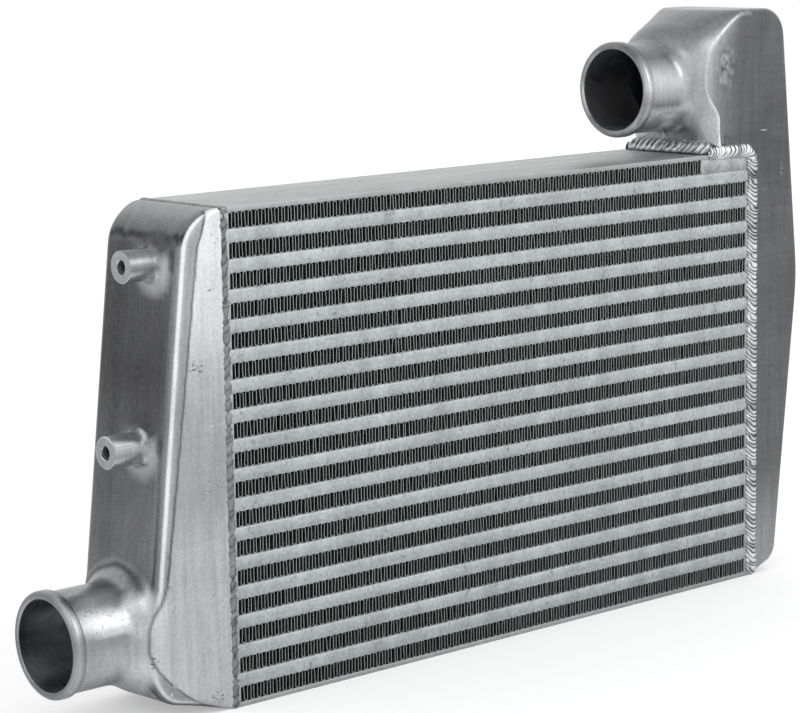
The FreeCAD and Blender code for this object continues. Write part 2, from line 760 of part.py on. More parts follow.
def check_document():
    """Stop where any object of the document failed."""
    for thing in doc.Objects:
        if "Invalid" in thing.State or "Error" in thing.State:
            raise RuntimeError(f"{thing.Name} failed: {thing.State}")


def write_parts(parts):
    """Check each piece's shape and write it to a file of its own name."""
    for part in parts:
        if part.Shape.isNull() or not part.Shape.isValid():
            raise RuntimeError(f"{part.Label} has no valid shape")
    os.makedirs("parts", exist_ok=True)
    for part in parts:
        part.Shape.exportStep(os.path.join("parts", part.Label + ".step"))


def build():
    outlet = outlet_tank()
    parts = side_plates()
    parts += [charge_tube(number) for number in range(1, round(value("Size.air_rows")))]
    parts += air_fins()
    parts += charge_fins()
    outlet_bar_start = "Place.half_core - Size.end_bar_width"
    parts += [
        end_bars("inlet_end_bars", "-Place.half_core", 1),
        end_bars("outlet_end_bars", outlet_bar_start, 2),
        corner_block(),
        inlet_tank(),
        outlet,
        inlet_weld(),
        outlet_weld(),
        hood_weld(outlet),
    ]
    doc.recompute()
    check_document()
    write_parts(parts)


build()
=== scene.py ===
"""A bar-and-plate charge air cooler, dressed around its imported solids.

Lengths are in metres in the part's own frame: +X runs along the core from the inlet tank to the outlet
tank, -Y is the front face and +Z is up. The file is laid out as an add-on and is run as a script.
"""

import math

import bmesh
import bpy
import numpy as np
from bpy.props import FloatProperty, FloatVectorProperty, IntProperty, PointerProperty
from mathutils import Matrix, Vector


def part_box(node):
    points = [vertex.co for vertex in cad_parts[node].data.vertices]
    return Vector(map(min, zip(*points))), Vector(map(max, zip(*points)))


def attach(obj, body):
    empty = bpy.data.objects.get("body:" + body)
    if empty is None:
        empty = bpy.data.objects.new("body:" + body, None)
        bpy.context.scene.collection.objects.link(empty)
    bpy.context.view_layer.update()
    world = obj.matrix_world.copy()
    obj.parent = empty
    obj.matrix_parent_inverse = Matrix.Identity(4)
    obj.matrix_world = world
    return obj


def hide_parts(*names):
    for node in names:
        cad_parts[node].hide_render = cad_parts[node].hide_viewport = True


bl_info = {
    "name": "Charge Air Cooler",
    "version": (1, 0, 0),
    "blender": (4, 5, 0),
    "location": "3D View > Sidebar > Cooler",
    "description": "Dresses a bar-and-plate charge air cooler with castings, fins, welds and finishes",
    "category": "Object",
}

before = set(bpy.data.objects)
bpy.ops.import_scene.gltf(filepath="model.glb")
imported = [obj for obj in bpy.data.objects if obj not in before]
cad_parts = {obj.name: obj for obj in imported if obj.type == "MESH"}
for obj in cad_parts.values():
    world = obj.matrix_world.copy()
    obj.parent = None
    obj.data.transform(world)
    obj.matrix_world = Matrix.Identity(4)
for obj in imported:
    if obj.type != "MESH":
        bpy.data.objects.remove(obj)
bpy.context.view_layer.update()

CORE_LOW, CORE_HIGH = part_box("top_side_plate")
HALF_CORE = CORE_HIGH.x
HALF_DEPTH = CORE_HIGH.y
CORE_TOP = CORE_HIGH.z
COOLER_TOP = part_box("outlet_tank")[1].z
INLET_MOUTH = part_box("inlet_tank")[0].x
OUTLET_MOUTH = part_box("outlet_tank")[0].x
TUBES = sorted(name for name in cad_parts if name.startswith("charge_tube_"))
AIR_FINS = sorted(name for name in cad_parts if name.startswith("air_fin_"))
CHARGE_FINS = sorted(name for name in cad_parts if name.startswith("charge_fin_"))


# What a user would change.

def length(name, default, description):
    """A length in metres that a user may change."""
    return FloatProperty(name=name, default=default, description=description, unit="LENGTH",
                         subtype="DISTANCE", precision=4)


def share(name, default, description):
    """A number from 0 to 1 that a user may change."""
    return FloatProperty(name=name, default=default, description=description, min=0.0, max=1.0,
                         subtype="FACTOR")


def colour(name, default, description):
    """A colour that a user may change."""
    return FloatVectorProperty(name=name, default=default, description=description, size=3, min=0.0,
                               max=1.0, subtype="COLOR")


class TankSizes(bpy.types.PropertyGroup):
    """Sizes of the two castings."""

    wall: length("Wall", 0.003, "Thickness of both castings")
    seam_round: length("Seam edge round", 0.0025, "Rounding of the long edges at the core")
    round_growth: length("Round growth", 0.022, "Distance from the core over which that rounding grows")
    inlet_top_reach: length("Inlet top reach", 0.0257, "How far the inlet tank stands out at its top")
    inlet_foot_reach: length("Inlet foot reach", 0.0593, "How far the inlet tank stands out at its foot")
    inlet_foot_rise: length("Inlet foot rise", 0.0141, "How far its floor climbs on the way out")
    inlet_top_round: length("Inlet top round", 0.0255, "Radius of the inlet tank's top corner")
    inlet_foot_round: length("Inlet foot round", 0.025, "Radius of the inlet tank's foot corner")
    inlet_edge_round: length("Inlet edge round", 0.008, "Rounding along the end face's edges")
    outlet_foot_reach: length("Outlet foot reach", 0.0262, "How far the outlet tank stands out at its foot")
    outlet_foot_rise: length("Outlet foot rise", 0.0088, "How far its floor climbs on the way out")
    outlet_knee_reach: length("Outlet knee reach", 0.0492, "How far the outlet tank stands out at its knee")
    outlet_knee_height: length("Outlet knee height", 0.205, "Height of the knee")
    outlet_head_reach: length("Outlet head reach", 0.0322, "How far the outlet tank stands out at its top")
    outlet_foot_round: length("Outlet foot round", 0.014, "Radius of the outlet tank's foot corner")
    outlet_knee_round: length("Outlet knee round", 0.15, "Radius of the knee")
    outlet_head_round: length("Outlet head round", 0.02, "Radius of the outlet tank's top corner")
    outlet_edge_round: length("Outlet edge round", 0.003, "Rounding along the outlet tank's edges")


class HoodSizes(bpy.types.PropertyGroup):
    """Sizes of the hood that turns the charge air back over the core."""

    face: length("Face", 0.19, "Place along the core of the foot of the hood's face")
    lean: length("Lean", 0.036, "How far that face leans out from foot to top")
    dome_reach: length("Dome reach", 0.0765, "Radius of the dome round an axis across the cooler")
    dome_centre: length("Dome centre", 0.233, "Place along the core of that axis")
    dome_excess: length("Dome excess", 0.0036, "How far the dome's round would pass the flat front")
    dome_squeeze: share("Dome squeeze", 0.16, "How much sooner the dome closes above its axis")
    crown_blend: length("Crown blend", 0.0294, "Width of the blend between the dome and the flat top")
    face_blend: length("Face blend", 0.012, "Width of the blend between the dome and the face")
    narrowing: length("Narrowing", 0.0135, "How much narrower the dome is below its axis")
    root_blend: length("Root blend", 0.006, "Width of the blend between the port and the dome")


class PortSizes(bpy.types.PropertyGroup):
    """Sizes of the two hose ports."""

    radius: length("Radius", 0.03, "Outside radius of both ports")
    bore: length("Bore", 0.027, "Radius of both bores")
    bead: length("Bead", 0.0317, "Radius of the hose bead")
    bead_width: length("Bead width", 0.0066, "Width of the hose bead")
    nose: length("Nose", 0.0021, "Length of the bead's round towards the mouth")
    lip: length("Lip", 0.0298, "Radius at which that round meets the mouth")
    inlet_height: length("Inlet height", 0.0512, "Height of the inlet port's axis")
    outlet_height: length("Outlet height", 0.3402, "Height of the outlet port's axis")
    inlet_blend: length("Inlet blend", 0.016, "Width of the blend at the inlet port's root")


class BossSizes(bpy.types.PropertyGroup):
    """Sizes of the two tapped bosses on the inlet tank."""

    radius: length("Radius", 0.0095, "Outside radius of a boss")
    setback: length("Setback", 0.013, "How far the bosses lie in front of the tank's middle")
    upper_height: length("Upper height", 0.2645, "Height of the upper boss's axis")
    lower_height: length("Lower height", 0.1595, "Height of the lower boss's axis")
    upper_face: length("Upper face", -0.28199, "Place along the core of the upper boss's face")
    lower_face: length("Lower face", -0.29703, "Place along the core of the lower boss's face")
    upper_foot: length("Upper foot", -0.25839, "Place along the core where the upper boss meets the tank")
    lower_foot: length("Lower foot", -0.27093, "Place along the core where the lower boss meets the tank")
    blend: length("Blend", 0.008, "Width of the blend at a boss's root")
    drill: length("Drill", 0.0034, "Radius of the thread's crests")
    groove: length("Groove", 0.0006, "Depth of the thread")
    pitch: length("Pitch", 0.00125, "Pitch of the thread")
    mouth: length("Mouth", 0.0045, "Radius of the countersink")
    depth: length("Depth", 0.02, "Depth of the hole")


class CoreSizes(bpy.types.PropertyGroup):
    """Sizes of the core's tubes and fins."""

    sheet: length("Sheet", 0.0005, "Thickness of a parting sheet")
    long_bar: length("Long bar", 0.005, "Depth of the bars that close a tube")
    groove: length("Groove", 0.00025, "Depth of the groove between a sheet's edge and its bar")
    edge_round: length("Edge round", 0.0004, "Rounding of the plates' and bars' edges")
    fin_gauge: length("Fin gauge", 0.0003, "Thickness of the cooling fin")
    fin_pitch: length("Fin pitch", 0.00248, "Distance between two walls of the cooling fin")
    fin_sway: length("Fin sway", 0.00018, "How far a fin wall may stand off its place")
    fin_setback: length("Fin setback", 0.0006, "How far the fins lie behind the bars' faces")


class WeldSizes(bpy.types.PropertyGroup):
    """Sizes of the weld beads."""

    inlet_width: length("Inlet width", 0.0065, "Width of the inlet tank's bead")
    inlet_proud: length("Inlet height", 0.0008, "Height of the inlet tank's bead")
    outlet_width: length("Outlet width", 0.0124, "Width of the outlet tank's bead")
    outlet_proud: length("Outlet height", 0.002, "Height of the outlet tank's bead")
    plate_width: length("Plate width", 0.0098, "Width of the bead between the hood and the top plate")
    hood_width: length("Hood width", 0.0118, "Width of the bead round the foot of the hood")
    hood_proud: length("Hood height", 0.0026, "Height of the bead round the foot of the hood")
    ripple_pitch: length("Ripple pitch", 0.003, "Distance between two ripples")


class Finishes(bpy.types.PropertyGroup):
    """Colours of the finishes."""

    cast: colour("Casting", (0.955, 0.965, 1.0), "Hand-polished casting")
    plate: colour("Plate", (0.59, 0.61, 0.61), "Matt rolled plate")
    tube: colour("Tube", (0.62, 0.65, 0.66), "Edges of the tubes after brazing")
    bar: colour("Bar", (0.58, 0.60, 0.61), "End bars after brazing")
    fin: colour("Fin", (0.42, 0.43, 0.43), "Folded cooling fin")
    weld: colour("Weld", (0.72, 0.73, 0.74), "Weld bead")
    floor: colour("Floor", (0.93, 0.93, 0.93), "Studio floor")


class Studio(bpy.types.PropertyGroup):
    """The camera and the light."""

    camera: FloatVectorProperty(name="Camera", size=3, subtype="TRANSLATION", unit="LENGTH",
                                default=(-1.195862, -1.275021, 0.466791), description="Camera's place")
    lens: FloatProperty(name="Lens", default=124.39, description="Focal length", unit="CAMERA")
    seed: IntProperty(name="Seed", default=7, description="Seed of the small irregularities")


# Shapes.

def smaller_blend(first, second, width):
    """The smaller of two distances, their crease filled by a round of a width."""
    near = np.maximum(width - np.abs(first - second), 0.0) / width
    return np.minimum(first, second) - near * near * width / 4


def larger_blend(first, second, width):
    """The larger of two distances, their edge taken off by a round of a width."""
    return -smaller_blend(-first, -second, width)


def smooth_step(values, low, high):
    """0 below low, 1 above high, and a cubic ease between."""
    ratio = np.clip((values - low) / (high - low), 0.0, 1.0)
    return ratio * ratio * (3 - 2 * ratio)


def mix(first, second, part):
    """The first value where a part is 0, the second where it is 1, and straight between."""
    return first * (1 - part) + second * part


def crossing(distance, outside, inside, rounds=30):
    """Where each segment from an outside point to an inside point crosses a shape, by halving."""
    low = np.zeros(outside.shape[:-1])
    high = np.ones_like(low)
    for _ in range(rounds):
        middle = (low + high) / 2
        point = outside + (inside - outside) * middle[..., None]
        within = distance(point[..., 0], point[..., 1], point[..., 2]) < 0
        high = np.where(within, middle, high)
        low = np.where(within, low, middle)
    return outside + (inside - outside) * high[..., None]


def around_axis(across, radius, height, angles, setback=0.0):
    """Points at places along X and radii round an axis along X.

    Angle 0 is up and a quarter turn is to the front.
    """
    return np.stack(np.broadcast_arrays(across, -setback - radius * np.sin(angles),
                                        height + radius * np.cos(angles)), axis=-1)


def turn_angles(count):
    """Equal steps round a full turn."""
    return np.arange(count) * 2 * math.pi / count


class Patch:
    """A mesh put together from grids of points."""

    def __init__(self):
        self.points = []
        self.painted_lights_and_tones = []
        self.faces = []
        self.count = 0

    def grid(self, points, painted_lights_and_tones=1.0, wrap_rows=False, wrap_columns=False, capped=False):
        """Add a grid of points with a quad in each cell.

        Rows and columns may wrap, and the first and last rows may each be closed by one face. The values at
        each point say how light the metal is painted there: painted light and shade, with a random step on
        welds.
        """
        rows, columns = points.shape[:2]
        index = np.arange(rows * columns).reshape(rows, columns) + self.count
        wide = np.concatenate([index, index[:1]]) if wrap_rows else index
        wide = np.concatenate([wide, wide[:, :1]], axis=1) if wrap_columns else wide
        quads = np.stack([wide[:-1, :-1], wide[:-1, 1:], wide[1:, 1:], wide[1:, :-1]], axis=-1)
        self.faces.append(quads.reshape(-1, 4))
        if capped:
            self.faces.append(index[:1])
            self.faces.append(index[-1:])
        self.points.append(points.reshape(-1, 3))
        self.painted_lights_and_tones.append(np.broadcast_to(painted_lights_and_tones, (rows, columns)).ravel())
        self.count += rows * columns
        return index

    def band(self, first, second):
        """Join two closed loops of points by a band of quads."""
        self.faces.append(np.stack([first, np.roll(first, -1), np.roll(second, -1), second], axis=-1))

    def mesh(self, name, crease=35):
        """The finished mesh, its faces turned outwards, smooth but for edges sharper than a crease."""
        points = np.concatenate(self.points)
        corners = np.concatenate([group.ravel() for group in self.faces]).astype(np.int32)
        sizes = np.concatenate([np.full(len(group), group.shape[1]) for group in self.faces])
        starts = np.concatenate([[0], np.cumsum(sizes)[:-1]]).astype(np.int32)
        mesh = bpy.data.meshes.new(name)
        mesh.vertices.add(len(points))
        mesh.vertices.foreach_set("co", points.astype(np.float32).ravel())
        mesh.loops.add(len(corners))
        mesh.loops.foreach_set("vertex_index", corners)
        mesh.polygons.add(len(starts))
        mesh.polygons.foreach_set("loop_start", starts)
        mesh.update(calc_edges=True)
        work = bmesh.new()
        work.from_mesh(mesh)
        bmesh.ops.recalc_face_normals(work, faces=work.faces)
        work.to_mesh(mesh)
        work.free()
        mesh.shade_smooth()
        mesh.set_sharp_from_angle(angle=math.radians(crease))
        # The painted light and shade at each point go on the mesh as a layer.
        layer = mesh.attributes.new("tone", "FLOAT", "POINT")
        layer.data.foreach_set("value", np.concatenate(self.painted_lights_and_tones).astype(np.float32))
        return mesh


def tone(mesh, shade):
    """Store on each point its painted reflections and shade, from a function of the point and its normal."""
    points = np.empty(len(mesh.vertices) * 3, np.float32)
    normals = np.empty_like(points)
    mesh.vertices.foreach_get("co", points)
    mesh.vertex_normals.foreach_get("vector", normals)
    values = shade(points.reshape(-1, 3), normals.reshape(-1, 3))
    mesh.attributes["tone"].data.foreach_set("value", values.astype(np.float32))


def add_piece(name, mesh, finish, slot, *nodes):
    """Put a mesh into the scene as a piece that rides on the part and stands for some of its nodes."""
    piece = bpy.data.objects.new(name, mesh)
    bpy.context.scene.collection.objects.link(piece)
    mesh.materials.append(finish)
    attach(piece, "root")
    if nodes:
        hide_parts(*nodes)


def rounded_path(corners, radii, straight, turn):
    """An open path through corners, each inner one rounded by an arc of its radius.

    Each straight run has a number of points and each arc another. Returns the points and the direction of
    travel at each.
    """
    corners = [np.array(corner, float) for corner in corners]
    points = []
    headings = []
    start = corners[0]
    for index in range(1, len(corners)):
        before = corners[index] - corners[index - 1]
        before /= np.linalg.norm(before)
        if index == len(corners) - 1:
            end = corners[index]
        else:
            after = corners[index + 1] - corners[index]
            after /= np.linalg.norm(after)
            bend = math.atan2(before[0] * after[1] - before[1] * after[0], before @ after)
            radius = radii[index - 1]
            end = corners[index] - before * radius * math.tan(abs(bend) / 2)
        steps = np.linspace(0, 1, straight, endpoint=index == len(corners) - 1)[:, None]
        points.append(start + (end - start) * steps)
        headings.append(np.repeat(before[None], straight, axis=0))
        if index < len(corners) - 1:
            swing = np.linspace(0, bend, turn, endpoint=False)[:, None]
            left = np.array([-before[1], before[0]]) * math.copysign(1, bend)
            centre = end + left * radius
            points.append(centre - left * radius * np.cos(swing) + before * radius * np.sin(np.abs(swing)))
            headings.append(before * np.cos(swing) + left * np.sin(np.abs(swing)))
            start = centre - left * radius * math.cos(bend) + before * radius * math.sin(abs(bend))
    return np.concatenate(points), np.concatenate(headings)


def shell_grid(corners, radii, half, seam_round, edge_round, growth, around, straight=26, turn=16,
               flats=12, gather=1.0):
    """One skin of a casting that is open at the core.

    Along the grid runs the outline of the casting in X and Z. Across it runs a section: flat from the
    seam to the edge, a quarter round, straight over the end face, a quarter round and flat back to the
    seam. The quarter round's radius grows from the seam outwards. The rows of the flats may gather
    towards the edge by a power. At the seam a small share of even spacing keeps the rows apart.
    """
    even = 0.04
    face_rows = 7
    path, heading = rounded_path(corners, radii, straight, turn)
    seam = corners[0][0]
    side = math.copysign(1, corners[1][0] - seam)
    normal = np.stack([heading[:, 1], -heading[:, 0]], axis=1) * side
    grown = smooth_step(np.abs(path[:, 0] - seam), 0.0, growth)
    radius = seam_round + (edge_round - seam_round) * grown
    tangent = path - normal * radius[:, None]
    tangent[:, 0] = seam + side * np.maximum((tangent[:, 0] - seam) * side, 0.0)
    low = tangent[0, 1]
    high = tangent[-1, 1]
    climb = (tangent[:, 1] - low) / (high - low)
    spine = low + (high - low) * mix(climb, np.linspace(0, 1, len(path)), even)
    start = np.stack([np.full(len(path), seam), spine], axis=1)
    rows = []
    for part in 1 - np.linspace(1, 0, flats, endpoint=False) ** gather:
        rows.append((start + (tangent - start) * part, np.full(len(path), half)))
    for angle in np.linspace(0, math.pi / 2, around):
        rows.append((tangent + (path - tangent) * math.sin(angle), half - radius * (1 - math.cos(angle))))
    for part in np.linspace(1, 0, face_rows, endpoint=False)[1:]:
        rows.append((path, (half - radius) * part))
    front = np.stack([np.stack([flat[:, 0], -depth, flat[:, 1]], axis=1) for flat, depth in rows])
    middle = np.stack([path[:, 0], np.zeros(len(path)), path[:, 1]], axis=1)[None]
    back = front[::-1] * np.array([1, -1, 1])
    return np.concatenate([front, middle, back])


def grid_border(index):
    """The closed loop of a grid's outer points."""
    return np.concatenate([index[0, :-1], index[:-1, -1], index[-1, :0:-1], index[:0:-1, 0]])


def open_casting(patch, outer, inner):
    """Add a casting's two skins, joined round the opening at the core."""
    outside = patch.grid(outer)
    inside = patch.grid(inner)
    patch.band(grid_border(outside), grid_border(inside))


def extrusion_distance(path, heading, half, radius_at):
    """Distance to a convex outline in X and Z that is carried across Y, its edges rounded.

    The outline is the largest of the distances to the lines along its path.
    """
    side = math.copysign(1, path[len(path) // 2, 0] - path[0, 0])
    normal = np.stack([heading[:, 1], -heading[:, 0]], axis=1) * side
    level = (normal * path).sum(axis=1)

    def distance(x, y, z):
        plan = np.full(x.shape, -1.0)
        for (along, up), reach in zip(normal, level):
            plan = np.maximum(plan, x * along + z * up - reach)
        radius = radius_at(x)
        over_plan = plan + radius
        over_side = np.abs(y) - half + radius
        corner = np.hypot(np.maximum(over_plan, 0), np.maximum(over_side, 0))
        return corner + np.minimum(np.maximum(over_plan, over_side), 0) - radius

    return distance


def inlet_corners(sizes, inset):
    """The corners of the inlet tank's outline in X and Z, from the seam's foot to its top."""
    seam = -HALF_CORE
    return [
        (seam, inset),
        (seam - sizes.inlet_foot_reach + inset, sizes.inlet_foot_rise + inset),
        (seam - sizes.inlet_top_reach + inset, CORE_TOP - inset),
        (seam, CORE_TOP - inset),
    ]


def inlet_end(sizes, height):
    """The place along X of the inlet tank's end face at a height."""
    lean = (sizes.inlet_foot_reach - sizes.inlet_top_reach) / (CORE_TOP - sizes.inlet_foot_rise)
    return -HALF_CORE - sizes.inlet_foot_reach + lean * (height - sizes.inlet_foot_rise)


def outlet_corners(sizes, inset):
    """The corners of the outlet tank's outline in X and Z, from the seam's foot to its top."""
    seam = HALF_CORE
    return [
        (seam, inset),
        (seam + sizes.outlet_foot_reach - inset, sizes.outlet_foot_rise + inset),
        (seam + sizes.outlet_knee_reach - inset, sizes.outlet_knee_height),
        (seam + sizes.outlet_head_reach - inset, COOLER_TOP - inset),
        (seam, COOLER_TOP - inset),
    ]


def bead_rows(ports, mouth):
    """Places along X and radii of a port's mouth, from its bore to the tube behind its bead."""
    lip_round = 0.0005
    heel = 0.0007
    groove = 0.00025
    swing = np.linspace(0, math.pi / 2, 7)
    nose_x = mouth + ports.nose * (1 - np.cos(swing))
    nose_r = ports.lip + (ports.bead - ports.lip) * np.sin(swing)
    lip_x = mouth + lip_round * (1 - np.sin(swing[::2]))
    lip_r = ports.bore + lip_round * (1 - np.cos(swing[::2]))
    end = mouth + ports.bead_width
    heel_x = end - heel * (1 - np.sin(swing[::2]))
    heel_r = ports.bead - heel * (1 - np.cos(swing[::2]))
    root = [(end, ports.radius + groove), (end + 0.0001, ports.radius - groove),
            (end + 0.0006, ports.radius - groove), (end + 0.0009, ports.radius)]
    across = np.concatenate([lip_x, nose_x, heel_x, [place for place, _ in root]])
    radius = np.concatenate([lip_r, nose_r, heel_r, [reach for _, reach in root]])
    return across, radius


def hood_distance(hood, ports, inset):
    """Distance to the hood's outside, or with an inset to its hollow.

    The dome is a round carried round an axis across the cooler. It runs straight on behind that axis, and
    below it runs straight down and is narrower. It is cut by the flat top, the flat sides, the leaning
    face and the floor, each with a blend. The dome closes sooner, and the blend with the flat top is
    wider, further from the outlet tank.
    """
    turned = HALF_DEPTH + hood.dome_excess - inset
    ring = hood.dome_reach - HALF_DEPTH - hood.dome_excess
    slope = hood.lean / (COOLER_TOP - CORE_TOP)
    steep = math.hypot(1, slope)
    squeezed_from, crown_from = 0.2, 0.185
    front, behind_front = -0.036, -0.008
    narrowed_by = 0.022
    sharp_crown, sharp_rim, round_rim = 0.0006, 0.0008, 0.0024
    rim_low, rim_high = 0.046, 0.05

    def distance(x, y, z):
        above = z - ports.outlet_height
        sooner = smooth_step(-x, -HALF_CORE, -squeezed_from) * smooth_step(y, front, behind_front)
        squeeze = 1 + hood.dome_squeeze * sooner
        spread = np.hypot(np.minimum(x - hood.dome_centre, 0), np.maximum(above, 0) * squeeze)
        narrowed = hood.narrowing * smooth_step(-above, 0.0, narrowed_by)
        dome = np.hypot(np.maximum(spread - ring + narrowed, 0), y) - turned
        crown = sharp_crown + hood.crown_blend * smooth_step(-x, -HALF_CORE, -crown_from)
        whole = larger_blend(dome, z - COOLER_TOP + inset, crown)
        face = (hood.face - slope * (z - CORE_TOP) - x) / steep + inset
        whole = larger_blend(whole, face, hood.face_blend)
        rim = sharp_rim + round_rim * smooth_step(above, rim_low, rim_high)
        whole = larger_blend(whole, np.abs(y) - HALF_DEPTH + inset, rim)
        return np.maximum(whole, CORE_TOP + inset - z)

    return distance


# Castings.

# How many points go round a port and round a boss.

PORT_COUNT = 240
BOSS_COUNT = 72

# How far a ray reaches, how far a port's skin is let in where it lies along the plain casting, how far
# behind its mouth a bore's wall starts, and how many of its widths a hose bead's painted reflections cover.

FAR = 0.09
TUCK = 0.000015
BORE_START = 0.004
BEAD_SPAN = 1.15


def radial_skin(distance, across, height, angles):
    """Points where rays from a port's axis, at places along X, leave a shape."""
    centre = around_axis(across[:, None], 0.0 * angles[None], height, angles[None])
    far = around_axis(across[:, None], FAR + 0.0 * angles[None], height, angles[None])
    return crossing(distance, far, centre)


def tank_shell(patch, tanks, corners, rounds, edges, **grid):
    """Both skins of a tank: the inner one lies a wall's thickness inside the outer one."""
    inner_seam = 0.001
    skins = []
    for inset, seam_round, edge in ((0.0, tanks.seam_round, edges[0]), (tanks.wall, inner_seam, edges[1])):
        skins.append(shell_grid(corners(tanks, inset), rounds - inset, HALF_DEPTH - inset, seam_round, edge,
                                tanks.round_growth, **grid))
    open_casting(patch, *skins)


def inlet_distance(tanks):
    """Distance to the inlet tank without its port and bosses."""
    rounds = (tanks.inlet_foot_round, tanks.inlet_top_round)
    path, heading = rounded_path(inlet_corners(tanks, 0.0), rounds, 3, 24)

    def radius_at(x):
        grown = smooth_step(-HALF_CORE - x, 0.0, tanks.round_growth)
        return tanks.seam_round + (tanks.inlet_edge_round - tanks.seam_round) * grown

    return extrusion_distance(path, heading, HALF_DEPTH, radius_at)


def rod_distance(radius, height, setback, end):
    """Distance to a rod along X that ends at a place inside the tank."""

    def distance(x, y, z):
        beside = np.hypot(y + setback, z - height) - radius
        beyond = np.maximum(x - end, 0)
        return np.where(beyond > 0, np.hypot(np.maximum(beside, 0), beyond), beside)

    return distance


def march(distance, outside, inside, steps=60):
    """The first place where each segment enters a shape: equal steps, then halving inside one step."""
    found = np.ones(outside.shape[:-1])
    for step in range(steps, 0, -1):
        point = outside + (inside - outside) * (step / steps)
        within = distance(point[..., 0], point[..., 1], point[..., 2]) < 0
        found = np.where(within, step / steps, found)
    start = outside + (inside - outside) * (found - 1 / steps)[..., None]
    end = outside + (inside - outside) * found[..., None]
    return crossing(distance, start, end, 18)


def root_skin(tank, rod, blend, centre, target, height, angles, setback, count):
    """The blend at a rod's root, from the rod to the tank.

    In each half plane through the rod's axis, rays fan from a centre outside both, from straight at the
    rod to a target inside the tank, and each stops where it meets the blended shape. A last row runs on a
    little way into the tank, so that no gap shows.
    """
    sink = 0.0004

    def distance(x, y, z):
        return smaller_blend(tank(x, y, z), rod(x, y, z), blend) + TUCK

    first = -math.pi / 2
    last = np.arctan2(target[1] - centre[1], target[0] - centre[0]) + 0 * angles
    fan = first + (last - first)[None] * np.linspace(0, 1, count)[:, None]
    inside_x = centre[0] + FAR * np.cos(fan)
    inside_r = centre[1] + FAR * np.sin(fan)
    short = np.where(inside_r < 0, centre[1] / np.maximum(centre[1] - inside_r, 1e-9), 1.0)
    inside_x = centre[0] + (inside_x - centre[0]) * short
    inside_r = centre[1] + (inside_r - centre[1]) * short
    outside = around_axis(centre[0] + 0 * fan, centre[1] + 0 * fan, height, angles[None], setback)
    inside = around_axis(inside_x, inside_r, height, angles[None], setback)
    skin = march(distance, outside, inside)
    inward = (inside - outside) / np.linalg.norm(inside - outside, axis=-1, keepdims=True)
    tucked = skin[-1:] + (skin[-1:] - skin[-2:-1]) + inward[-1:] * sink
    return np.concatenate([skin, tucked])


def inlet_port(patch, tanks, ports, tank):
    """The inlet port: a blended root, a tube, a bead, a mouth and a bore, closed inside the tank's wall.

    The root's rays end on a rounded square within the tank's end face, and further out at its sides.
    """
    rays, rod_end = 52, -0.279
    fan_centre = (-0.312, 0.054)
    fan_end, side_pull = -0.24, 0.022
    fan_reach, half_width, floor = 0.052, 0.034, 0.016
    overlap, depth = 0.001, 0.02
    angles = turn_angles(PORT_COUNT)
    height = ports.inlet_height
    down = np.maximum(-np.cos(angles), 1e-6)
    sideways = np.maximum(np.abs(np.sin(angles)), 1e-6)
    reach = np.minimum(np.minimum(fan_reach, half_width / sideways), (height - floor) / down)
    target = (fan_end - side_pull * smooth_step(sideways, 0.75, 0.95), reach)
    rod = rod_distance(ports.radius, height, 0.0, rod_end)
    root = root_skin(tank, rod, ports.inlet_blend, fan_centre, target, height, angles, 0.0, rays)
    across, radius = bead_rows(ports, INLET_MOUTH)
    mouth = around_axis(across[:, None], radius[:, None], height, angles[None])
    inner_end = inlet_end(tanks, height + ports.bore * np.cos(angles)) + tanks.wall
    bore_start = INLET_MOUTH + BORE_START + 0 * angles
    bore_x = np.stack([inner_end + overlap, inner_end - depth, bore_start])
    bore = around_axis(bore_x, ports.bore, height, angles[None])
    patch.grid(np.concatenate([bore, mouth, root]), wrap_rows=True, wrap_columns=True)


def tapped_boss(patch, bosses, tank, height, face, foot):
    """A boss with a blended root and a threaded blind hole.

    The thread is a groove whose depth rises and falls once each pitch along the hole and each turn.
    """
    rays, rim_round, rows_to_pitch = 26, 0.0006, 8
    narrow, plain_end, tip = 1.15, 0.004, 0.00002
    fan_out, fan_up, fan_in, fan_foot, rod_in = 0.014, 0.013, 0.012, 0.0105, 0.004
    angles = turn_angles(BOSS_COUNT)
    centre = (foot - fan_out, bosses.radius + fan_up)
    target = (foot + fan_in, bosses.radius + fan_foot)
    rod = rod_distance(bosses.radius, height, bosses.setback, foot + rod_in)
    root = root_skin(tank, rod, bosses.blend, centre, target, height, angles, bosses.setback, rays)

    def rings(across, radius):
        across = np.array(across)[:, None]
        radius = np.array(radius).reshape(len(across), -1)
        return around_axis(across, radius, height, angles[None], bosses.setback)

    swing = np.linspace(0, math.pi / 2, 5)
    rim = rings(face + rim_round * (1 - np.sin(swing)), bosses.radius - rim_round * (1 - np.cos(swing)))
    sink = bosses.mouth - bosses.drill
    mouth = rings((face, face + sink * 0.5), (bosses.mouth, bosses.mouth - sink * 0.5))
    along = np.arange(sink, bosses.depth - plain_end, bosses.pitch / rows_to_pitch)
    turn = (along[:, None] / bosses.pitch + angles[None] / (2 * math.pi)) % 1.0
    cut = (1 - np.abs(2 * turn - 1) * narrow).clip(0, 1)
    thread = rings(face + along, bosses.drill + bosses.groove * cut)
    end = rings((face + bosses.depth, face + bosses.depth + bosses.drill * 0.5), (bosses.drill, tip))
    patch.grid(np.concatenate([root[::-1], rim, mouth, thread, end]), wrap_columns=True, capped=True)


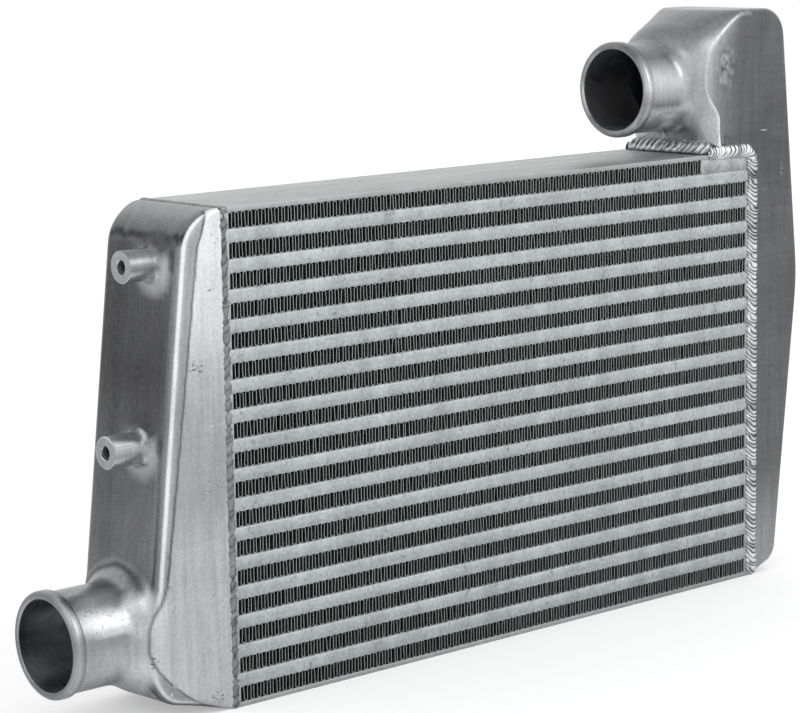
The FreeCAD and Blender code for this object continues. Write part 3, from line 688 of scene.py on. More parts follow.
def hood_and_port(patch, tanks, hood, ports):
    """The hood with its port: both skins are found along rays from the port's axis, place by place.

    The rays are closer together where they cross the creases between the dome and the flat sides. Both
    skins run on a little way into the outlet tank.
    """
    coarse, fine = 2.0, 0.75
    neck, dome = 0.152, 0.2
    inner_neck = 0.156
    creases = np.arange(30, 120, fine)
    angles = np.radians(np.concatenate([np.arange(0, 30, coarse), creases, np.arange(120, 240, coarse),
                                        creases + 210, np.arange(330, 360, coarse)]))
    height = ports.outlet_height
    deep = HALF_CORE + 0.006
    start = OUTLET_MOUTH + ports.bead_width + 0.002
    shape = hood_distance(hood, ports, 0.0)
    hollow = hood_distance(hood, ports, tanks.wall)
    rod = rod_distance(ports.radius, height, 0.0, hood.face)
    bore = rod_distance(ports.bore, height, 0.0, hood.face)

    def outer_distance(x, y, z):
        blended = smaller_blend(shape(x, y, z), rod(x, y, z), hood.root_blend)
        return np.maximum(blended, CORE_TOP - z) + TUCK

    def inner_distance(x, y, z):
        return np.minimum(hollow(x, y, z), bore(x, y, z))

    outer_x = np.concatenate([np.linspace(start, neck, 6, endpoint=False),
                              np.linspace(neck, dome, 74, endpoint=False), np.linspace(dome, HALF_CORE, 48),
                              [(HALF_CORE + deep) / 2, deep]])
    inner_x = np.concatenate([np.linspace(deep, dome, 6, endpoint=False), np.linspace(dome, inner_neck, 24),
                              [OUTLET_MOUTH + BORE_START]])
    outer = radial_skin(outer_distance, outer_x, height, angles)
    inner = radial_skin(inner_distance, inner_x, height, angles)
    across, radius = bead_rows(ports, OUTLET_MOUTH)
    mouth = around_axis(across[:, None], radius[:, None], height, angles[None])
    patch.grid(np.concatenate([inner, mouth, outer]), wrap_rows=True, wrap_columns=True)


# The core.

def rounded_bar(patch, low, high, edge, ease=4):
    """Add a straight bar along X, its long edges and both its ends rounded.

    The section is a rectangle with quarter rounds at its corners, and it shrinks by a quarter round's
    depth towards each end.
    """
    middle = (np.array(low) + np.array(high)) / 2
    half = (np.array(high) - np.array(low)) / 2
    swing = np.linspace(0, math.pi / 2, ease)
    round_y = half[1] - edge * (1 - np.sin(swing))
    round_z = half[2] - edge * (1 - np.cos(swing))
    loop_y = np.concatenate([round_y, round_y[::-1], -round_y, -round_y[::-1]])
    loop_z = np.concatenate([round_z, -round_z[::-1], -round_z, round_z[::-1]])
    end = half[0] - edge + edge * np.sin(swing[::-1])
    along = np.concatenate([end, -end[::-1]])
    inset = edge * (1 - np.cos(swing[::-1]))
    inset = np.concatenate([inset, inset[::-1]])[:, None]
    rows = np.stack(np.broadcast_arrays(along[:, None] + middle[0],
                                        loop_y - np.sign(loop_y) * inset + middle[1],
                                        loop_z - np.sign(loop_z) * inset + middle[2]), axis=-1)
    patch.grid(rows, wrap_columns=True, capped=True)


def tube_mesh(name, core):
    """A flat tube: its section is carried along X.

    The section is a ring. Outside it shows the edges of the two sheets and the bar between them, parted
    by fine grooves, and inside it is a plain rectangle.
    """
    low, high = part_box(name)
    middle = (low.z + high.z) / 2
    half = (high.z - low.z) / 2
    bar = half - core.sheet
    floor = HALF_DEPTH - core.groove
    side = np.array([
        (HALF_DEPTH - 0.006, half), (HALF_DEPTH - 0.0002, half), (HALF_DEPTH, half - 0.00012),
        (HALF_DEPTH, bar + 0.00022), (floor, bar + 0.0001), (floor, bar - 0.00005),
        (HALF_DEPTH - 0.0001, bar - 0.0003), (HALF_DEPTH, bar - 0.0006), (HALF_DEPTH, 0.0),
    ])
    right = np.concatenate([side, side[-2::-1] * np.array([1, -1])])
    outer = np.concatenate([right, -right])
    inner_y = HALF_DEPTH - core.long_bar
    inner = np.stack([np.clip(outer[:, 0], -inner_y, inner_y), np.sign(outer[:, 1]) * bar], axis=1)
    rows = []
    for loop, place in ((outer, low.x), (outer, high.x), (inner, high.x), (inner, low.x)):
        rows.append(np.stack([np.full(len(loop), place), loop[:, 0], loop[:, 1] + middle], axis=1))
    patch = Patch()
    patch.grid(np.stack(rows), wrap_rows=True, wrap_columns=True)
    return patch.mesh(name, 25)


def fin_mesh(name, core, draw):
    """A folded fin: a path of upright walls joined by half rounds, alternately above and below.

    The path is given a thickness and carried across the core. Each wall stands a little off its place and
    leans a little.
    """
    wall_points, bend_points, leaning = 4, 7, 0.7
    low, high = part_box(name)
    count = 2 * round((high.x - low.x) / core.fin_pitch / 2) + 1
    pitch = (high.x - low.x - core.fin_gauge) / (count - 1)
    bend = (pitch - core.fin_gauge) / 2
    place = low.x + core.fin_gauge / 2 + pitch * np.arange(count)
    place[1:-1] += draw.normal(0, core.fin_sway, count - 2)
    lean = draw.normal(0, core.fin_sway * leaning, count)
    lean[[0, -1]] = 0
    half = (high.z - low.z - core.fin_gauge) / 2
    middle = (high.z + low.z) / 2
    up = np.where(np.arange(count) % 2 == 0, 1.0, -1.0)
    step = np.linspace(0, math.pi, bend_points)[1:-1]
    wall_z = np.linspace(-1, 1, wall_points)[None] * (half - bend) * up[:, None]
    wall_x = place[:, None] + lean[:, None] * wall_z / half
    start = wall_x[:-1, -1:]
    end = wall_x[1:, :1]
    turn_x = (start + end) / 2 - (end - start) / 2 * np.cos(step)
    turn_z = wall_z[:-1, -1:] + up[:-1, None] * bend * np.sin(step)
    path_x = np.concatenate([np.concatenate([wall_x[:-1], turn_x], axis=1).ravel(), wall_x[-1]])
    path_z = np.concatenate([np.concatenate([wall_z[:-1], turn_z], axis=1).ravel(), wall_z[-1]])
    run = np.stack([np.gradient(path_x), np.gradient(path_z)], axis=1)
    run /= np.linalg.norm(run, axis=1, keepdims=True)
    offset = np.stack([run[:, 1], -run[:, 0]], axis=1) * core.fin_gauge / 2
    front = HALF_DEPTH - core.fin_setback
    rows = []
    for side, depth in ((1, -front), (1, front), (-1, front), (-1, -front)):
        rows.append(np.stack([path_x + side * offset[:, 0], np.full(len(path_x), depth),
                              path_z + side * offset[:, 1] + middle], axis=1))
    patch = Patch()
    patch.grid(np.stack(rows, axis=1), wrap_columns=True, capped=True)
    return patch.mesh(name, 50)


# Welds.

def bead(patch, path, outward, along, width, height, pitch, draw, depth, contrast, light, rough_edge,
         slant=0.0):
    """Add a rippled weld bead carried along a path.

    The section is an arc over a chord, with a flat back let in below it. Its height is scalloped along
    the path, one scallop to a ripple, and each ripple's crest bows back towards the bead's edges and may
    slant. Its width, its height and the beat of its ripples wander a little. The width is one number or
    one for each point of the path. Painted shade makes it darkest between ripples and at the bead's edges,
    with a random step for each ripple, and its flat back is painted dark.
    """
    columns, rows_to_ripple, wander_step = 17, 12, 0.003
    beat_wander, bow, flat_rise, edge_drop = 0.22, 0.22, 0.05, 0.0002
    back_depth, back_tone, darkest, lightest = 0.0004, 0.3, 0.06, 1.2
    back_places = np.array([0.92, 0.0, -0.92])
    gaps = np.linalg.norm(np.diff(path, axis=0), axis=1)
    distance = np.concatenate([[0], np.cumsum(gaps)])
    count = int(distance[-1] / pitch * rows_to_ripple)
    station = np.linspace(0, distance[-1], count)

    def carry(values):
        values = np.broadcast_to(values, path.shape)
        return np.stack([np.interp(station, distance, values[:, axis]) for axis in range(3)], axis=1)

    centre = carry(path)
    normal = carry(outward)
    normal /= np.linalg.norm(normal, axis=1, keepdims=True)
    across = carry(along)
    across /= np.linalg.norm(across, axis=1, keepdims=True)
    wide = np.interp(station, distance, np.broadcast_to(width, len(path)))[:, None]
    knots = np.arange(0, distance[-1] + 2 * wander_step, wander_step)
    wander = np.interp(station, knots, draw.normal(0, 1, len(knots)))[:, None]
    ragged = np.interp(station, knots, draw.normal(0, 1, len(knots)))[:, None]
    place = np.linspace(-1, 1, columns)
    lag = (bow * place ** 2 + slant * place) * wide / pitch
    beats = station[:, None] / pitch + beat_wander * wander - lag
    scallop = np.abs(np.sin(math.pi * beats))
    from_end = np.minimum(station, distance[-1] - station)[:, None] / (wide * 0.42)
    taper = np.sqrt(np.clip(1 - np.clip(1 - from_end, 0, 1) ** 2, 0.01, 1))
    rise = height * taper * (1 - place ** 2) * (1 + 0.06 * wander)
    rise = rise * (1 - depth + depth * scallop) + flat_rise * height * scallop * (1 - place ** 4)
    rise = np.minimum(rise, height) - edge_drop * place ** 8
    reach = wide / 2 * taper * (1 - rough_edge * np.abs(ragged) - 0.05 * (1 - scallop) * place ** 4)
    side = (place * reach)[..., None] * across[:, None]
    crown = centre[:, None] + side + normal[:, None] * rise[..., None]
    under = (back_places * wide / 2 * taper)[..., None] * across[:, None]
    back = centre[:, None] - normal[:, None] * back_depth + under
    each = draw.uniform(-1, 1, int(distance[-1] / pitch) + 40)[(np.floor(beats) + 20).astype(int)]
    # Painted shade in the troughs between ripples and at the bead's edges, with a random step for each
    # ripple.
    painted_lights_and_tones = 1 - contrast * (1 - scallop) ** 1.2 + contrast * (0.2 * each + 0.12 * ragged)
    painted_lights_and_tones = np.clip(light * painted_lights_and_tones * (1 - 0.75 * place ** 8), darkest, lightest)
    painted_lights_and_tones = np.concatenate([painted_lights_and_tones, np.full((count, len(back_places)), back_tone)], axis=1)
    patch.grid(np.concatenate([crown, back], axis=1), painted_lights_and_tones, wrap_columns=True, capped=True)


def turning(start, corner, end, radius):
    """Points along two straight runs that meet at a corner, with an arc of a radius between them.

    Returns the points and the direction of travel at each.
    """
    start, corner, end = (np.array(point, float) for point in (start, corner, end))
    before = (corner - start) / np.linalg.norm(corner - start)
    after = (end - corner) / np.linalg.norm(end - corner)
    swing = np.linspace(0, math.pi / 2, 13)[:, None]
    centre = corner - before * radius + after * radius
    arc = centre - after * radius * np.cos(swing) + before * radius * np.sin(swing)
    arc_way = before * np.cos(swing) + after * np.sin(swing)
    points = np.concatenate([start[None], arc, end[None]])
    return points, np.concatenate([before[None], arc_way, after[None]])


# Finishes.

class Socket:
    """A node's output with arithmetic. Each operator adds one Math node."""

    def __init__(self, paint, output):
        self.paint = paint
        self.output = output

    def combine(self, operation, first, second):
        """A Math node of two values, each a socket or a number."""
        return self.paint.node("ShaderNodeMath", {"operation": operation}, {0: first, 1: second})

    def __add__(self, other):
        return self.combine("ADD", self, other)

    def __radd__(self, other):
        return self.combine("ADD", other, self)

    def __sub__(self, other):
        return self.combine("SUBTRACT", self, other)

    def __rsub__(self, other):
        return self.combine("SUBTRACT", other, self)

    def __mul__(self, other):
        return self.combine("MULTIPLY", self, other)

    def __rmul__(self, other):
        return self.combine("MULTIPLY", other, self)


class Paint:
    """A node tree under construction."""

    def __init__(self, owner):
        owner.use_nodes = True
        self.tree = owner.node_tree
        self.tree.nodes.clear()

    def node(self, kind, settings, inputs, output=0):
        """Add a node of a type: its settings first, then its inputs by name or number."""
        node = self.tree.nodes.new(kind)
        for key, setting in settings.items():
            setattr(node, key, setting)
        for key, value in inputs.items():
            if isinstance(value, Socket):
                self.tree.links.new(value.output, node.inputs[key])
            else:
                node.inputs[key].default_value = value
        return Socket(self, node.outputs[output]) if node.outputs else None

    def place(self, stretch=(1.0, 1.0, 1.0), turned=(0.0, 0.0, 0.0)):
        """Object coordinates, turned and stretched."""
        where = self.node("ShaderNodeTexCoord", {}, {}, "Object")
        return self.node("ShaderNodeMapping", {}, {"Vector": where, "Rotation": turned, "Scale": stretch})

    def noise_place(self, scale, amount, moved):
        """Object coordinates, moved and then pushed about by a coarse noise."""
        push = self.node("ShaderNodeTexNoise", {}, {"Vector": self.place(), "Scale": scale}, "Color")
        push = self.node("ShaderNodeVectorMath", {"operation": "SCALE"}, {0: push, "Scale": amount})
        where = self.node("ShaderNodeVectorMath", {"operation": "ADD"}, {0: self.place(), 1: moved})
        return self.node("ShaderNodeVectorMath", {"operation": "ADD"}, {0: where, 1: push})

    def noise(self, scale, detail=2.0, stretch=(1.0, 1.0, 1.0), turned=(0.0, 0.0, 0.0)):
        """A noise about 0.5, finer with a larger scale, stretched along an axis with a stretch under 1."""
        return self.node("ShaderNodeTexNoise", {}, {"Vector": self.place(stretch, turned), "Scale": scale,
                                                     "Detail": detail})

    def tone(self):
        """How light the metal is painted, its painted reflections and shade, as stored on the mesh's points.
        """
        return self.node("ShaderNodeAttribute", {"attribute_name": "tone"}, {}, "Fac")

    def range(self, value, low, high, start=0.0, end=1.0):
        """Carry a value from one range to another, held at both ends."""
        return self.node("ShaderNodeMapRange", {"interpolation_type": "SMOOTHSTEP"},
                         {"Value": value, "From Min": low, "From Max": high, "To Min": start, "To Max": end})

    def spot(self, centre, half, soft=0.35):
        """1 within an oval about a point, fading to 0 at its edge."""
        away = self.node("ShaderNodeVectorMath", {"operation": "SUBTRACT"}, {0: self.place(), 1: centre})
        away = self.node("ShaderNodeVectorMath", {"operation": "DIVIDE"}, {0: away, 1: half})
        away = self.node("ShaderNodeVectorMath", {"operation": "LENGTH"}, {0: away}, 1)
        return self.range(away, 1.0, 1.0 - soft)

    def spots(self, places):
        """The sum of several such ovals."""
        return sum(self.spot(*place) for place in places)

    def lighter(self, shade, amount):
        """A colour multiplied by a number."""
        return self.node("ShaderNodeVectorMath", {"operation": "SCALE"}, {0: shade, "Scale": amount})

    def bump(self, height, distance, strength):
        """A normal that is tilted by a height, whose full range is a distance in metres."""
        return self.node("ShaderNodeBump", {}, {"Height": height, "Distance": distance,
                                                "Strength": strength})

    def surface(self, values):
        """One shader of some values, joined to the material's output."""
        shader = self.node("ShaderNodeBsdfPrincipled", {}, values)
        self.node("ShaderNodeOutputMaterial", {}, {"Surface": shader})


def new_paint(name):
    """A new material and its empty node tree."""
    material = bpy.data.materials.new(name)
    return material, Paint(material)


# Marks on the castings: the centre of each oval, its half sizes and, where given, how soft its edge is.

WORN_SPOTS = (
    ((-0.2489, -0.04, 0.2058), (0.008, 0.004, 0.0065)),
    ((-0.2373, -0.04, 0.2494), (0.004, 0.004, 0.0018)),
    ((-0.2397, -0.04, 0.0094), (0.008, 0.004, 0.006)),
    ((-0.2851, -0.038, 0.0384), (0.004, 0.006, 0.005)),
)
ROUGH_SPOTS = (
    ((0.2035, -0.04, 0.352), (0.015, 0.004, 0.028), 0.7),
    ((0.199, -0.04, 0.304), (0.016, 0.004, 0.008), 0.8),
)
SCRATCH_SPOT = ((0.241, -0.04, 0.3085), (0.0065, 0.003, 0.0007))
SPECK_ROW = ((0.2595, -0.04, 0.281), (0.0012, 0.003, 0.016))
SPECK_PATCH = ((0.2625, -0.04, 0.225), (0.006, 0.003, 0.014))


def cast_finish(name, shade):
    """Cast metal, ground and hand polished: brushing, swirls, clouding, scratches and pits, over painted
    reflections and shade.
    """
    material, paint = new_paint(name)
    # The brightness follows the painted reflections and shade stored on the points; the swirls show most
    # where that painted light is dark.
    light = paint.tone()
    cloud = paint.noise(16.0, 3.0)
    brush = paint.noise(60.0, 3.0, (5.0, 5.0, 0.35))
    cross = paint.noise(70.0, 2.0, (0.5, 6.0, 4.0), (0.5, 0.4, 0.7))
    grain = paint.noise(650.0, 2.0)
    swirl = paint.node("ShaderNodeTexWave", {"wave_type": "RINGS", "rings_direction": "SPHERICAL"},
                       {"Vector": paint.noise_place(14.0, 0.008, (0.28, -0.02, -0.19)), "Scale": 130.0,
                        "Distortion": 1.5, "Detail": 2.0}, "Fac")
    swirl_areas = paint.range(paint.noise(22.0, 1.0), 0.45, 0.65) * paint.range(light, 0.3, 0.14)
    streak = paint.noise(90.0, 2.0, (0.25, 7.0, 7.0), (0.3, 0.75, 0.2))
    scratch = paint.range(streak, 0.72, 0.78)
    pit_cells = paint.node("ShaderNodeTexVoronoi", {"feature": "F1"},
                           {"Vector": paint.place(), "Scale": 380.0}, "Distance")
    pits = paint.range(pit_cells, 0.22, 0.12) * paint.range(paint.noise(34.0, 1.0), 0.62, 0.70)
    gouges = paint.range(paint.noise(420.0, 2.0, (1.0, 1.0, 1.6)), 0.52, 0.6)
    specks = paint.range(paint.noise(300.0, 1.0), 0.66, 0.7)
    mottle = paint.noise(300.0, 3.0, (1.0, 1.0, 0.7))
    worn = paint.spots(WORN_SPOTS) * gouges
    rough = paint.spots(ROUGH_SPOTS)
    bright = paint.spot(*SCRATCH_SPOT) + paint.spot(*SPECK_ROW) * gouges + paint.spot(*SPECK_PATCH) * specks
    amount = light * (0.22 + 0.64 * cloud + 0.46 * brush + 0.46 * grain) + 0.05 * (cross - 0.5)
    amount = amount * (1.0 + 0.17 * swirl_areas * (swirl - 0.5))
    amount = amount * (1.0 + 0.35 * scratch) * (1.0 - 0.55 * pits) * (1.0 - 0.6 * worn)
    amount = (amount + 0.6 * bright) * (1.0 + rough * (6.0 * mottle - 2.75))
    height = 0.3 * brush + 0.2 * cross - 1.5 * pits
    paint.surface({
        "Base Color": paint.lighter(shade, amount),
        "Metallic": 1.0,
        "Roughness": 0.20 + 0.16 * cloud,
        "Normal": paint.bump(height, 0.0003, 0.5),
    })
    return material


def plate_finish(name, shade, rough=0.0):
    """Matt rolled plate: streaks along the core, soft blotches and, where it is rough, dark grain."""
    material, paint = new_paint(name)
    streak = paint.noise(30.0, 4.0, (0.2, 3.0, 3.0))
    blotch = paint.noise(25.0, 3.0)
    grain = paint.noise(380.0, 3.0)
    coarse = paint.noise(150.0, 3.0)
    amount = 0.32 + 0.30 * streak + 0.30 * blotch + 0.30 * grain + rough * (1.1 * coarse - 0.52)
    paint.surface({
        "Base Color": paint.lighter(shade, amount),
        "Metallic": 1.0,
        "Roughness": 0.42 + 0.12 * blotch,
        "Normal": paint.bump(streak, 0.0002, 0.4),
    })
    return material


def brazed_finish(name, shade):
    """Bars and sheet edges after brazing: matt, with faint upright blotches and grain."""
    material, paint = new_paint(name)
    blotch = paint.noise(22.0, 3.0, (3.0, 1.0, 0.4))
    grain = paint.noise(420.0, 3.0)
    spots = paint.range(paint.noise(180.0, 1.0), 0.66, 0.74)
    rows = paint.noise(30.0, 2.0, (0.3, 1.0, 6.0))
    amount = 0.12 + 0.56 * blotch + 0.66 * grain + 0.26 * rows - 0.2 * spots
    paint.surface({
        "Base Color": paint.lighter(shade, amount),
        "Metallic": 1.0,
        "Roughness": 0.50 + 0.12 * grain,
        "Normal": paint.bump(grain, 0.0002, 0.5),
    })
    return material


def fin_finish(name, shade):
    """Thin folded sheet with painted shade: light at its front edges, a little darker deep in the core."""
    material, paint = new_paint(name)
    where = paint.node("ShaderNodeTexCoord", {}, {}, "Object")
    deep = paint.node("ShaderNodeSeparateXYZ", {}, {0: where}, "Y")
    # Painted shade: lighter at the fins' front edges and darker deep in the core.
    painted_depth_shade = paint.range(deep, -0.0374, -0.0348, 1.36, 0.28)
    patchy = paint.noise(40.0, 2.0)
    paint.surface({
        "Base Color": paint.lighter(shade, painted_depth_shade * (0.75 + 0.5 * patchy)),
        "Metallic": 1.0,
        "Roughness": 0.45,
    })
    return material


def weld_finish(name, shade):
    """Bright weld metal with fine spatter, dark between its ripples by the painted shade stored on the bead.
    """
    material, paint = new_paint(name)
    soot = paint.noise(110.0, 3.0)
    grain = paint.noise(700.0, 2.0)
    paint.surface({
        "Base Color": paint.lighter(shade, paint.tone() * (0.50 + 0.72 * soot + 0.42 * grain)),
        "Metallic": 1.0,
        "Roughness": 0.26 + 0.15 * grain,
        "Normal": paint.bump(grain, 0.0002, 0.6),
    })
    return material


def finish(slot):
    """The material of a slot, made on its first use."""
    name = slot.replace("_metal", "_finish")
    if name in bpy.data.materials:
        return bpy.data.materials[name]
    finishes = bpy.context.scene.cooler_finishes
    makers = {
        "cast_finish": (cast_finish, finishes.cast),
        "plate_finish": (plate_finish, finishes.plate),
        "block_finish": (plate_finish, finishes.plate, 1.0),
        "tube_finish": (brazed_finish, finishes.tube),
        "bar_finish": (brazed_finish, finishes.bar),
        "air_fin_finish": (fin_finish, finishes.fin),
        "charge_fin_finish": (fin_finish, finishes.fin),
        "weld_finish": (weld_finish, finishes.weld),
    }
    make, *choices = makers[name]
    return make(name, *choices)


# How light each part of the castings is painted: reflections, highlights and shade painted into its colour.

def lobe(values, centre, width):
    """1 at a centre, falling away over a width."""
    return np.exp(-((values - centre) / width) ** 2)


def on_bore(point, normal, height, mouth, radius):
    """Whether a point is on the inside of a port's bore."""
    beside = np.hypot(point[:, 1], point[:, 2] - height)
    inward = (normal[:, 1] * point[:, 1] + normal[:, 2] * (point[:, 2] - height)) < 0
    return (beside < radius + 0.0004) & inward & (point[:, 0] > mouth) & (np.abs(normal[:, 0]) < 0.5)


def round_angle(across, up):
    """How far a direction is turned round an axis along X, in degrees: 0 is up and 90 is to the front."""
    return np.degrees(np.arctan2(-across, up)) % 360


# Bands of painted reflection and shade: places, and how light the metal is painted at each. Between two
# places it goes straight.
# By the angle round each port's tube: painted reflections along it.

INLET_TUBE = ((0, 10, 32, 45, 75, 80, 95, 125, 145, 200, 330),
              (0.3, 0.35, 0.9, 0.55, 0.6, 0.3, 0.55, 0.7, 0.45, 0.4, 0.3))
OUTLET_TUBE = ((0, 45, 60, 80, 95, 110, 128, 145, 165, 200, 360),
               (0.25, 0.2, 0.4, 0.65, 0.55, 0.25, 1.0, 1.0, 0.3, 0.4, 0.25))

# By the angle round each hose bead, and by the place along it as a share of its width: painted
# reflections, a painted highlight on its crest and painted shade behind it.

INLET_BEAD = ((0, 20, 50, 78, 105, 130, 170, 250, 360), (0.3, 0.3, 0.5, 0.35, 0.6, 0.65, 0.4, 0.35, 0.3))
OUTLET_BEAD = ((0, 20, 42, 60, 85, 105, 140, 165, 250, 360),
               (0.35, 0.2, 0.2, 0.5, 0.85, 0.45, 0.75, 0.35, 0.35, 0.35))
BEAD_PROFILE = ((0.0, 0.5, 0.8, 0.93, 1.0, 1.12), (0.75, 1.1, 0.8, 0.5, 1.1, 0.85))

# By the angle round each boss, and round the casting about it: painted reflections on its side, and
# painted shade and reflections about its root.

UPPER_BOSS = ((0, 40, 75, 100, 130, 160, 250, 360), (0.15, 0.2, 0.35, 0.25, 1.0, 1.0, 0.4, 0.15))
LOWER_BOSS = ((0, 35, 65, 80, 100, 130, 160, 250, 360), (0.9, 0.8, 0.25, 0.45, 0.4, 1.0, 1.0, 0.5, 0.9))
ABOUT_BOSS = ((0, 50, 100, 180, 290, 315, 360), (0.07, 0.1, 0.5, 0.4, 0.3, 0.08, 0.07))

# The inlet tank: its end face and flat front by height, its crown by the angle upwards, its long edge by
# the angle towards the front, and its port's root and bore by the angle round them. All are painted
# reflections and shade: a painted highlight strip on the long edge, a painted dark band low on the crown,
# and painted light and dark bands in the bore.

END_FACE = ((0.05, 0.13, 0.2, 0.28), (0.24, 0.165, 0.08, 0.1))
FLAT_FRONT = ((0.0, 0.09, 0.13, 0.15, 0.2, 0.25, 0.28), (0.7, 0.7, 0.45, 0.45, 0.62, 0.88, 0.95))
CROWN = ((8, 14, 20, 24, 30, 60, 70, 90), (0.1, 0.13, 0.05, 0.05, 0.15, 0.28, 0.27, 0.15))
LONG_EDGE = ((0, 6, 20, 36, 44, 53, 60, 75), (0.1, 0.15, 0.2, 0.3, 0.9, 0.95, 0.5, 0.4))
PORT_ROOT = ((0, 30, 50, 62, 100, 130, 150, 200, 300, 360),
             (0.3, 0.3, 0.75, 0.55, 0.55, 0.95, 0.9, 0.5, 0.35, 0.3))
INLET_BORE = ((10, 50, 90, 130, 150, 340), (0.9, 0.35, 0.12, 0.4, 0.9, 0.9))

# The outlet tank, all painted reflections and shade: its flat front by height, and its dome by the angle
# from the front near the crease, with a painted highlight along it, and by the angle upwards further on.

OUTLET_FRONT = ((0.01, 0.04, 0.08, 0.2, 0.38), (0.45, 0.34, 0.19, 0.15, 0.16))
DOME_NEAR = ((1.5, 3, 9, 18, 40), (0.15, 0.65, 0.65, 0.5, 0.45))
DOME_FAR = ((-30, 0, 12, 20, 56, 80), (0.6, 0.5, 0.5, 0.33, 0.19, 0.26))


def bead_shade(point, turned, mouth, width, sides):
    """How light a hose bead is painted, by the angle round it and the place along it: painted reflections.

    Its crest carries a painted highlight and a painted dark line lies behind it.
    """
    return np.interp(turned, *sides) * np.interp((point[:, 0] - mouth) / width, *BEAD_PROFILE)


def boss_rows(bosses):
    """The height, the face, the foot and the bands of painted reflection of each boss."""
    return ((bosses.upper_height, bosses.upper_face, bosses.upper_foot, UPPER_BOSS),
            (bosses.lower_height, bosses.lower_face, bosses.lower_foot, LOWER_BOSS))


def boss_shade(bosses, height, face, sides, values, point, normal):
    """The values with a boss put in: painted reflections on its round side and its face, painted shade in
    its hole and painted shade and reflections on the casting about its root.
    """
    face_tone, crest_tone, groove_drop, deepest = 0.42, 0.14, 0.135, 0.06
    clearance = 0.02
    x, y, z = point.T
    away = np.hypot(y + bosses.setback, z - height)
    here = x < -HALF_CORE - clearance
    about = np.interp(round_angle(y + bosses.setback, z - height), *ABOUT_BOSS)
    values = mix(values, about, smooth_step(-away, -0.0225, -0.0125) * here)
    side = np.interp(round_angle(normal[:, 1], normal[:, 2]), *sides)
    values = mix(values, side, smooth_step(-away, -0.0115, -0.0098) * here)
    on_face = (normal[:, 0] < -0.9) & (x < face + 0.002) & (away < bosses.radius + 0.0002)
    values = np.where(on_face, face_tone, values)
    # Painted shade: darker in the thread's grooves and darker still deep down the hole.
    groove = np.clip((away - bosses.drill) / bosses.groove, 0, 1)
    inside = (away < bosses.mouth) & (x > face + 0.0008)
    deep = deepest + (1 - deepest) * smooth_step(face - x, -0.006, -0.001)
    return np.where(inside, (crest_tone - groove_drop * groove) * deep, values)


def flat_border(z):
    """Where the inlet's flat front ends: a line, bowed beside the port and curved in to the foot."""
    start, slope, curve_height = -0.2851, 0.144, 0.05
    line = start + slope * z + 0.0047 * smooth_step(z, 0.27, 0.297)
    bow = 0.0077 * smooth_step(-z, -0.083, -0.056)
    foot = 0.0568 * (np.clip(curve_height - z, 0, curve_height) / curve_height) ** 1.9
    return line - bow + foot


def inlet_shade(ports, bosses):
    """The painted reflections and shade of the inlet casting, with a fine painted dark line round its flat
    front.

    Across the long rounded edge they go by the angle towards the front, over the crown by the angle
    upwards, and on the flat front and the end face by height.
    """
    # Painted levels for the underside, the back and the seam strip, by the way each faces.
    under_tone, back_tone, seam_tone = 0.6, 0.5, 0.44
    flat_from = -0.236

    def shade(point, normal):
        x, y, z = point.T
        beside = np.hypot(y, z - ports.inlet_height)
        place = round_angle(y, z - ports.inlet_height)
        turned = round_angle(normal[:, 1], normal[:, 2])
        front = np.degrees(np.arcsin(np.clip(-normal[:, 1], -1, 1)))
        rise = np.degrees(np.arcsin(np.clip(normal[:, 2], -1, 1)))
        ragged = rise + 2.5 * np.sin(260 * y) * np.sin(610 * y + 1) + 1.2 * np.sin(1900 * y)
        # Painted reflections by height on the end face, lighter near its front edge, and a painted dark band
        # low on the crown.
        end_face = np.interp(z, *END_FACE)
        end_face = end_face * (1 + 0.3 * smooth_step(-y, 0.025, 0.033) - 0.15 * lobe(y, 0.018, 0.006))
        crown = np.interp(ragged, *CROWN)
        over = smooth_step(rise, 8, 14)
        body = mix(end_face, crown, over)
        body = mix(body, under_tone, smooth_step(-rise, 0, 30))
        # Painted reflections across the long edge: a bright painted highlight strip with darker painted
        # shade beside it.
        edge = mix(np.interp(front, *LONG_EDGE), crown, over * smooth_step(-front, -44, -36))
        edge = edge * (1 - 0.3 * lobe(front, 13, 9) * smooth_step(-z, -0.15, -0.11))
        turn = mix(body, edge, smooth_step(front, 1, 8))
        turn = mix(turn, seam_tone, smooth_step(front, 84, 88))
        back = mix(body, back_tone, smooth_step(-front, 8, 40))
        values = np.where(front < 0, back, turn)
        border = flat_border(z) + 0.0003 * np.sin(420 * z) * np.sin(151 * z)
        inside = smooth_step(x - border, -0.0006, 0.0002) * smooth_step(-y, 0.0345, 0.037)
        inside = inside * (normal[:, 1] < -0.2)
        off_flat = (1 - inside) * (x < flat_from)
        # Painted reflections and shade round the port's root.
        root = np.interp(place, *PORT_ROOT)
        values = mix(values, root, smooth_step(-beside, -0.045, -0.038) * off_flat)
        # A painted dark band on the end face, curving round above the port's root.
        above = smooth_step(np.cos(np.radians(place + 8)), 0.5, 0.72) * off_flat
        forward = smooth_step(-y, 0.004, 0.022)
        dark_band_radius = 0.038 - 0.0016 * forward + 0.0003 * np.sin(300 * y + 1)
        painted_dark_band = lobe(beside, dark_band_radius, 0.0018 + 0.0024 * forward)
        values = values * (1 - 0.72 * above * painted_dark_band)
        for height, face, _, sides in boss_rows(bosses):
            values = boss_shade(bosses, height, face, sides, values, point, normal)
        tube = np.interp(turned, *INLET_TUBE)
        values = mix(values, tube, smooth_step(-x, 0.290, 0.300) * (beside < 0.05))
        values = mix(values, np.interp(z, *FLAT_FRONT), inside)
        # A fine painted dark line along the border of the flat front.
        line = lobe(x - border, -0.0007, 0.0009) * smooth_step(-y, 0.030, 0.036) * (z > 0.004)
        values = values * (1 - 0.6 * line)
        bead_tones = bead_shade(point, turned, INLET_MOUTH, ports.bead_width, INLET_BEAD)
        values = np.where(x < INLET_MOUTH + BEAD_SPAN * ports.bead_width, bead_tones, values)
        bore = on_bore(point, normal, ports.inlet_height, INLET_MOUTH, ports.bore)
        return np.where(bore, np.interp(turned, *INLET_BORE), values)

    return shade


